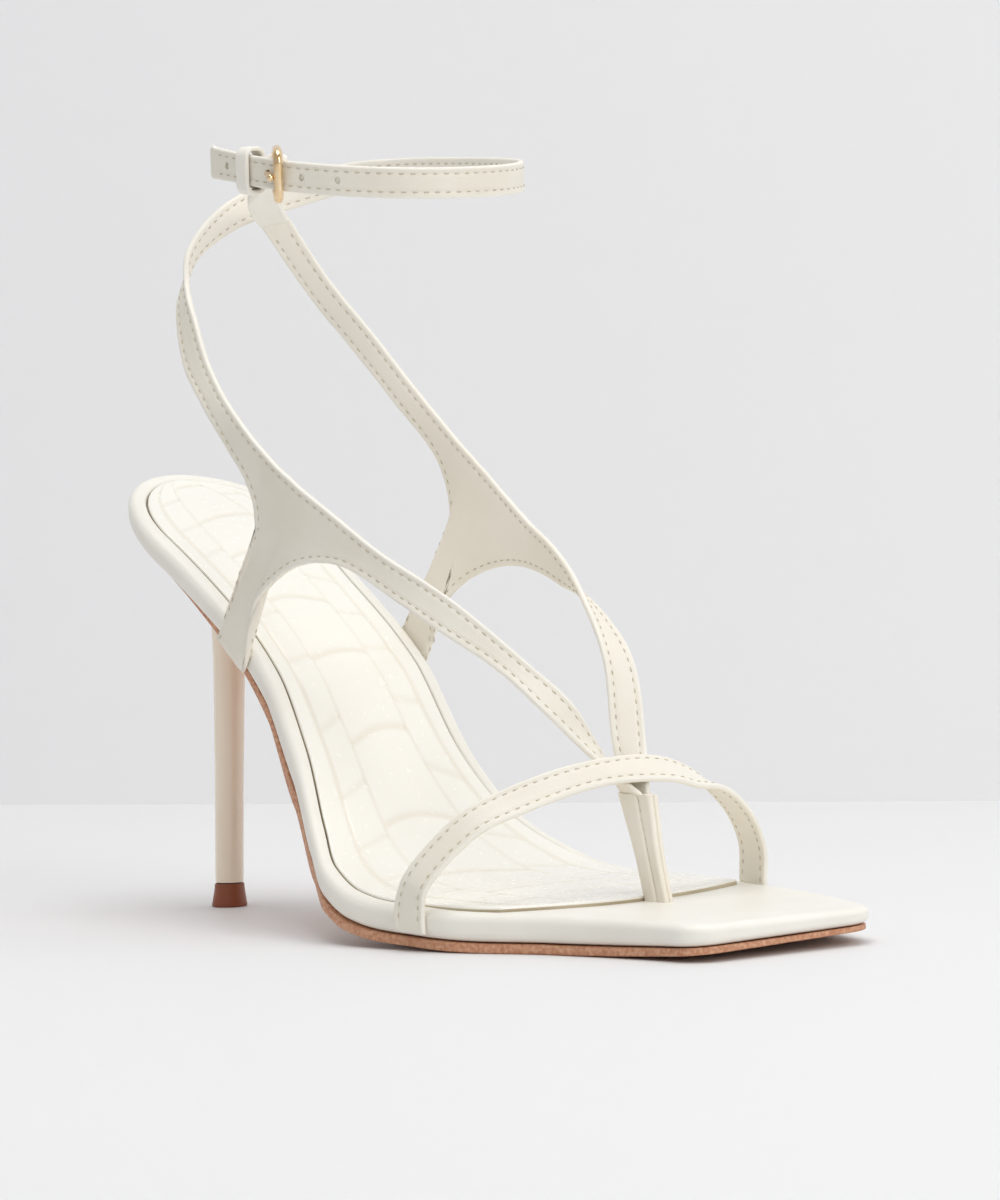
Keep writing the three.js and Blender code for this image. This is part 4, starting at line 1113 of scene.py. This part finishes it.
def make_prong():
    """The prong: a rod on a smooth path with a rounded tip, and its eye on the hinge bar."""
    path = smooth_curve(PRONG_PATH, np.linspace(0, 4, 48))
    run = lengths_along(path)
    left = np.clip((run[-1] - run) / 0.7, 0, 1)
    radius = PRONG_LOOK * PRONG_WIRE / 2 * np.maximum(0.12, np.sqrt(1 - (1 - left) ** 2))
    rod, rod_faces = capped(swept(path, radius))
    rod = rod.reshape(-1, 3)
    eye, eye_faces = tube(SLEEVE_INNER, EYE_OUTER, -EYE_HEIGHT / 2, EYE_HEIGHT / 2)
    points = np.concatenate([rod, eye])
    faces = np.concatenate([rod_faces, eye_faces + len(rod)])
    return piece("buckle_prong", points, faces, [GOLD], ["prong"], creases=60)


def make_sleeve():
    """The strap's end folded round the hinge bar, above and below the prong's eye."""
    gap = EYE_HEIGHT / 2 + CLEAR
    upper, faces = tube(SLEEVE_INNER, SLEEVE_OUTER, gap, STRAP_WIDTH / 2)
    lower, _ = tube(SLEEVE_INNER, SLEEVE_OUTER, -STRAP_WIDTH / 2, -gap)
    points = np.concatenate([upper, lower])
    both = np.concatenate([faces, faces + len(upper)])
    return piece("buckle_sleeve", points, both, [IVORY], creases=60)


def make_keeper():
    """A leather band bent to a rounded rectangle across the strap, with rolled edges."""
    over, under = FREE_AT[2], to_point(*BUCKLE_END[2][:3])
    outer = over[1] - STRAP_THICK / 2 - CLEAR
    inner = under[1] + STRAP_THICK / 2 + CLEAR + 0.4
    middle = np.array([(over[0] + under[0]) / 2, (outer + inner) / 2, (over[2] + under[2]) / 2])
    deep = (inner - outer) / 2 + KEEPER_THICK / 2
    tall = STRAP_WIDTH / 2 + CLEAR + abs(over[2] - under[2]) / 2 + 0.35 + KEEPER_THICK / 2
    y, z, turn = rounded(deep, tall, KEEPER_CORNER, 10)
    a = np.radians(np.linspace(0, 360, 24, endpoint=False))
    c, s = np.cos(a), np.sin(a)
    wide = KEEPER_WIDTH / 2 * np.sign(c) * np.abs(c) ** 0.32
    thick = KEEPER_THICK / 2 * np.sign(s) * np.abs(s) ** 0.5
    x = np.broadcast_to(wide, (40, 24))
    yy = y[:, None] + thick * np.cos(turn)[:, None]
    zz = z[:, None] + thick * np.sin(turn)[:, None]
    points = np.stack([x, yy, zz], -1).reshape(-1, 3) + middle
    return piece(
        "strap_keeper", points, grid_faces(40, 24, True, True), [IVORY], ["keeper"],
        creases=60,
    )


# Thong ---------------------------------------------------------------------------------


def thong_at(up, sunk=0.0):
    """The thong's middle, length and thickness at shares of its height."""
    foot = np.array([THONG_FOOT[0] * LENGTH - HEEL_BACK, THONG_FOOT[1] * HALF_BALL, 0])
    foot[2] = rim_top(foot[0]) - sunk
    long_, thick = (through(THONG[:, 0], THONG[:, c], up) for c in (1, 2))
    middle = foot + (to_point(*THONG_TOP) - foot) * up[:, None]
    return middle, THONG_LONG * long_, THONG_THICK / 2 * thick


def make_thong():
    """The post between the toes: leather folded at its heel side, sewn through both layers
    along its height, with the two cut edges side by side towards the toe. Across its
    length the half thickness is a quarter ellipse, then flat, pinched at the seam, and
    split at the cut edges."""
    centre, long_, thick = thong_at(np.linspace(0, 1, 70), 0.6)
    along = np.array([
        0, 0.01, 0.04, 0.09, 0.16, 0.25, 0.36, 0.48, 0.58, 0.62, 0.645, 0.67, 0.7, 0.76,
        0.84, 0.9, 0.94, 0.97, 0.985,
    ])
    body = np.sqrt(1 - (1 - np.clip(along / 0.3, 0, 1)) ** 2)
    pinch = 1 - 0.34 * np.exp(-(((along - 0.645) / 0.022) ** 2))
    pinch = pinch - 0.14 * np.clip((along - 0.6) / 0.08, 0, 1)
    corner = np.sqrt(1 - np.clip((along - 0.93) / 0.07, 0, 1) ** 2 * 0.6)
    half = body * pinch * corner
    split_along, split_half = np.array([1.0, 1.0, 0.975, 0.9]), np.array([0.42, 0.2, 0.05, 0.0])
    a = np.concatenate([along, split_along])
    h = np.concatenate([half, split_half])
    a = np.concatenate([a, a[::-1][1:-1]])
    h = np.concatenate([h, -h[::-1][1:-1]])
    x = (a - 0.5)[None] * long_[:, None]
    y = h[None] * thick[:, None]
    rings = centre[:, None] + np.stack([x, y, np.zeros_like(x)], -1)
    points, faces = capped(rings)
    return piece("thong_post", points, faces, [LINING], ["thong"], creases=60)


def thong_seam():
    """Stitches down the pinched line of the thong, on both of its faces."""
    seams = []
    for face in (-1, 1):
        spots, long_, thick = thong_at(np.linspace(0.05, 0.94, 11))
        spots[:, 0] += 0.145 * long_
        spots[:, 1] += face * (thick * 0.62)
        way = unit(np.gradient(spots, axis=0))
        seams.append((spots, way, np.tile([0.0, face, 0.0], (len(spots), 1))))
    return seams


# Strap holes ---------------------------------------------------------------------------


def punch(strap_piece, spots, normals):
    """Punches round holes into a strap from its outer face down to HOLE_FLOOR, short of its inner
    face, with a cutter of one rod for each hole.
    """
    turn = np.linspace(0, 2 * np.pi, 28, endpoint=False)[None, :, None]
    points, faces, base = [], [], 0
    for spot, n in zip(spots, normals):
        across = unit(np.cross(n, [0, 0, 1.0]))
        raised = np.cross(across, n)
        ring = (across * np.cos(turn) + raised * np.sin(turn)) * HOLE_WIDTH / 2
        ends = spot + n * np.array([[[HOLE_FLOOR]], [[2.2]]])
        rod, rod_faces = capped(ends + ring)
        points.append(rod.reshape(-1, 3))
        faces.append(rod_faces + base)
        base += len(points[-1])
    mesh = bpy.data.meshes.new("cutter")
    mesh.from_pydata((np.concatenate(points) * MM).tolist(), [], np.concatenate(faces).tolist())
    merged(mesh)
    cutter = bpy.data.objects.new("cutter", mesh)
    bpy.context.scene.collection.objects.link(cutter)
    cut = strap_piece.modifiers.new("holes", "BOOLEAN")
    cut.operation, cut.object, cut.solver = "DIFFERENCE", cutter, "EXACT"
    bpy.context.view_layer.update()
    whole = strap_piece.evaluated_get(bpy.context.evaluated_depsgraph_get())
    done = bpy.data.meshes.new_from_object(whole)
    strap_piece.modifiers.clear()
    strap_piece.data = done
    bpy.data.objects.remove(cutter)


def hole_places(strap):
    """Places along the free end, counted from the prong's hole."""
    line = (strap.grid[:, 0] + strap.grid[:, -1]) / 2
    out = strap.normal[:, strap.grid.shape[1] // 2]
    crossing = in_buckle([3.4, -2, 0])
    late = len(line) * 3 // 4
    here = late + np.linalg.norm(line[late:] - crossing, axis=1).argmin()
    run = lengths_along(line)
    at = run[here] + np.array(HOLES_AT)
    return at_lengths(line, at), unit(np.column_stack([np.interp(at, run, c) for c in out.T]))


# Put together --------------------------------------------------------------------------

make_rim()
make_insole()
make_outsole()
make_heel()
make_top_lift()

lateral = Strap(joined_rows(edge_rows(LATERAL_STRAP, -1), ankle_rows(), end_rows(FREE_END)), -1)
medial = Strap(joined_rows(edge_rows(MEDIAL_STRAP, 1), end_rows(BUCKLE_END)), 1)
toe_rows = joined_rows(
    *[seat_row(-1, depth) for depth in (SEAT_DEPTH, 0)],
    edge_rows(TOE_STRAP, 1),
    *[seat_row(1, depth) for depth in (0, SEAT_DEPTH)],
)
toe = Strap(toe_rows, 1)

side_strap = make_strap("outer_and_ankle_strap", lateral, ["upper"])
make_strap("inner_side_strap", medial)
make_strap("toe_strap", toe)
make_fold("inner_strap_fold", medial)
punch(side_strap, *hole_places(lateral))

rows_lateral = (len(lateral.high) - 1) / FINE
make_stitches("outer_strap_stitches", [
    lateral.seam(upper, first, last, face)
    for face in (1, -1)
    for upper, first, last in (
        (True, 0.6, rows_lateral), (False, 0.6, 10), (False, 11, rows_lateral),
    )
])
make_stitches("inner_strap_stitches", [
    medial.seam(upper, first, last, face)
    for face in (1, -1)
    for upper, first, last in (
        (True, 0.6, FOLD_FROM - 0.1), (False, 0.6, 10), (False, 11, FOLD_FROM - 0.1),
    )
])
rows_toe = (len(toe.high) - 1) / FINE
make_stitches("toe_strap_stitches", [
    toe.seam(upper, 0.4, rows_toe - 0.4, face) for face in (1, -1) for upper in (True, False)
])
make_thong()
make_stitches("thong_stitches", thong_seam())
make_keeper()
make_sleeve()
make_buckle()
make_prong()

# Floor, wall, light and camera ---------------------------------------------------------

# The wall's foot, in mm, set by where the photo shows the floor's far edge
FOOT_LEFT = np.array([-255, 133, 0])
FOOT_RIGHT = np.array([-27, 283, 0])


def plain(name, colour, gloss):
    """Matt painted board."""
    material, _, shader, _ = blank(name)
    shader.inputs["Base Color"].default_value = linear(colour)
    shader.inputs["Roughness"].default_value = gloss
    shader.inputs["Specular IOR Level"].default_value = 0.2
    return material


def open_from_behind(material):
    """Lets a view from behind look through the wall's back. Light still meets the wall,
    so the picture from the front is the same."""
    tree = material.node_tree
    shader = next(n for n in tree.nodes if n.type == "BSDF_PRINCIPLED")
    output = next(n for n in tree.nodes if n.type == "OUTPUT_MATERIAL")
    back = add(tree, "ShaderNodeNewGeometry").outputs["Backfacing"]
    looked = add(tree, "ShaderNodeLightPath").outputs["Is Camera Ray"]
    share = add(tree, "ShaderNodeMath", {0: back, 1: looked}, operation="MULTIPLY").outputs[0]
    clear = add(tree, "ShaderNodeBsdfTransparent").outputs[0]
    both = add(tree, "ShaderNodeMixShader", {0: share, 1: shader.outputs[0], 2: clear})
    tree.links.new(both.outputs[0], output.inputs["Surface"])
    return material


def staged(name, corners, material):
    mesh = bpy.data.meshes.new(name)
    mesh.from_pydata([(np.asarray(c) * MM).tolist() for c in corners], [], [(0, 1, 2, 3)])
    mesh.materials.append(material)
    made = bpy.data.objects.new(name, mesh)
    bpy.context.scene.collection.objects.link(made)
    return made


across = unit(FOOT_RIGHT - FOOT_LEFT)
toward = np.array([across[1], -across[0], 0])
middle = (FOOT_LEFT + FOOT_RIGHT) / 2
ends = [middle - across * 6000, middle + across * 6000]
tall = np.array([0, 0, 6000])
near = [end + toward * 8000 for end in ends]
staged("floor", near + ends[::-1], plain("matt_white_floor", "e6e6e6", 0.55))
backdrop = open_from_behind(plain("matt_grey_backdrop", "f2f2f3", 0.7))
staged("backdrop", ends + [end + tall for end in ends[::-1]], backdrop)


def softbox(name, place, aim, size, power, colour="ffffff"):
    """A square studio lamp at place, aimed at aim, both in metres."""
    light = bpy.data.lights.new(name, "AREA")
    light.shape, light.size, light.size_y = "RECTANGLE", size[0], size[1]
    light.energy = power
    light.color = linear(colour)[:3]
    made = bpy.data.objects.new(name, light)
    way = np.array(aim) - np.array(place)
    made.location = place
    made.rotation_euler = Vector(way).to_track_quat("-Z", "Y").to_euler()
    bpy.context.scene.collection.objects.link(made)
    return made


softbox("overhead", (0.1, 0.0, 1.6), (0.05, 0, 0), (1.1, 1.1), 12.5)
softbox("front_right", (1.65, -0.1, 0.8), (0.05, 0, 0.06), (0.9, 1.2), 9)

world = bpy.data.worlds.new("studio")
bpy.context.scene.world = world
world.use_nodes = True
sky = next(n for n in world.node_tree.nodes if n.type == "BACKGROUND")
sky.inputs["Color"].default_value = linear("f7f7f8")
sky.inputs["Strength"].default_value = 0.56
bpy.context.scene.view_settings.view_transform = "Standard"

CAMERA_AT = np.array([1897.50, -1569.34, 253.97])
RIGHT = np.array([0.65272, 0.75698, -0.03073])
UP = np.array([-0.02987, 0.06625, 0.99736])
FORWARD = np.array([-0.75701, 0.65007, -0.06585])
aim = unit(FORWARD + 0.008899 * RIGHT - 0.007825 * UP)
right = unit(RIGHT - aim * (RIGHT @ aim))
up = np.cross(right, aim)
camera = bpy.data.objects.new("camera", bpy.data.cameras.new("camera"))
camera.data.sensor_width = 36
camera.data.lens = 36 * 10320.7 / 1200
camera.data.clip_start, camera.data.clip_end = 0.05, 50
turned = Matrix(np.column_stack([right, up, -aim]).tolist())
camera.matrix_world = Matrix.Translation((CAMERA_AT * MM).tolist()) @ turned.to_4x4()
bpy.context.scene.collection.objects.link(camera)
bpy.context.scene.camera = camera
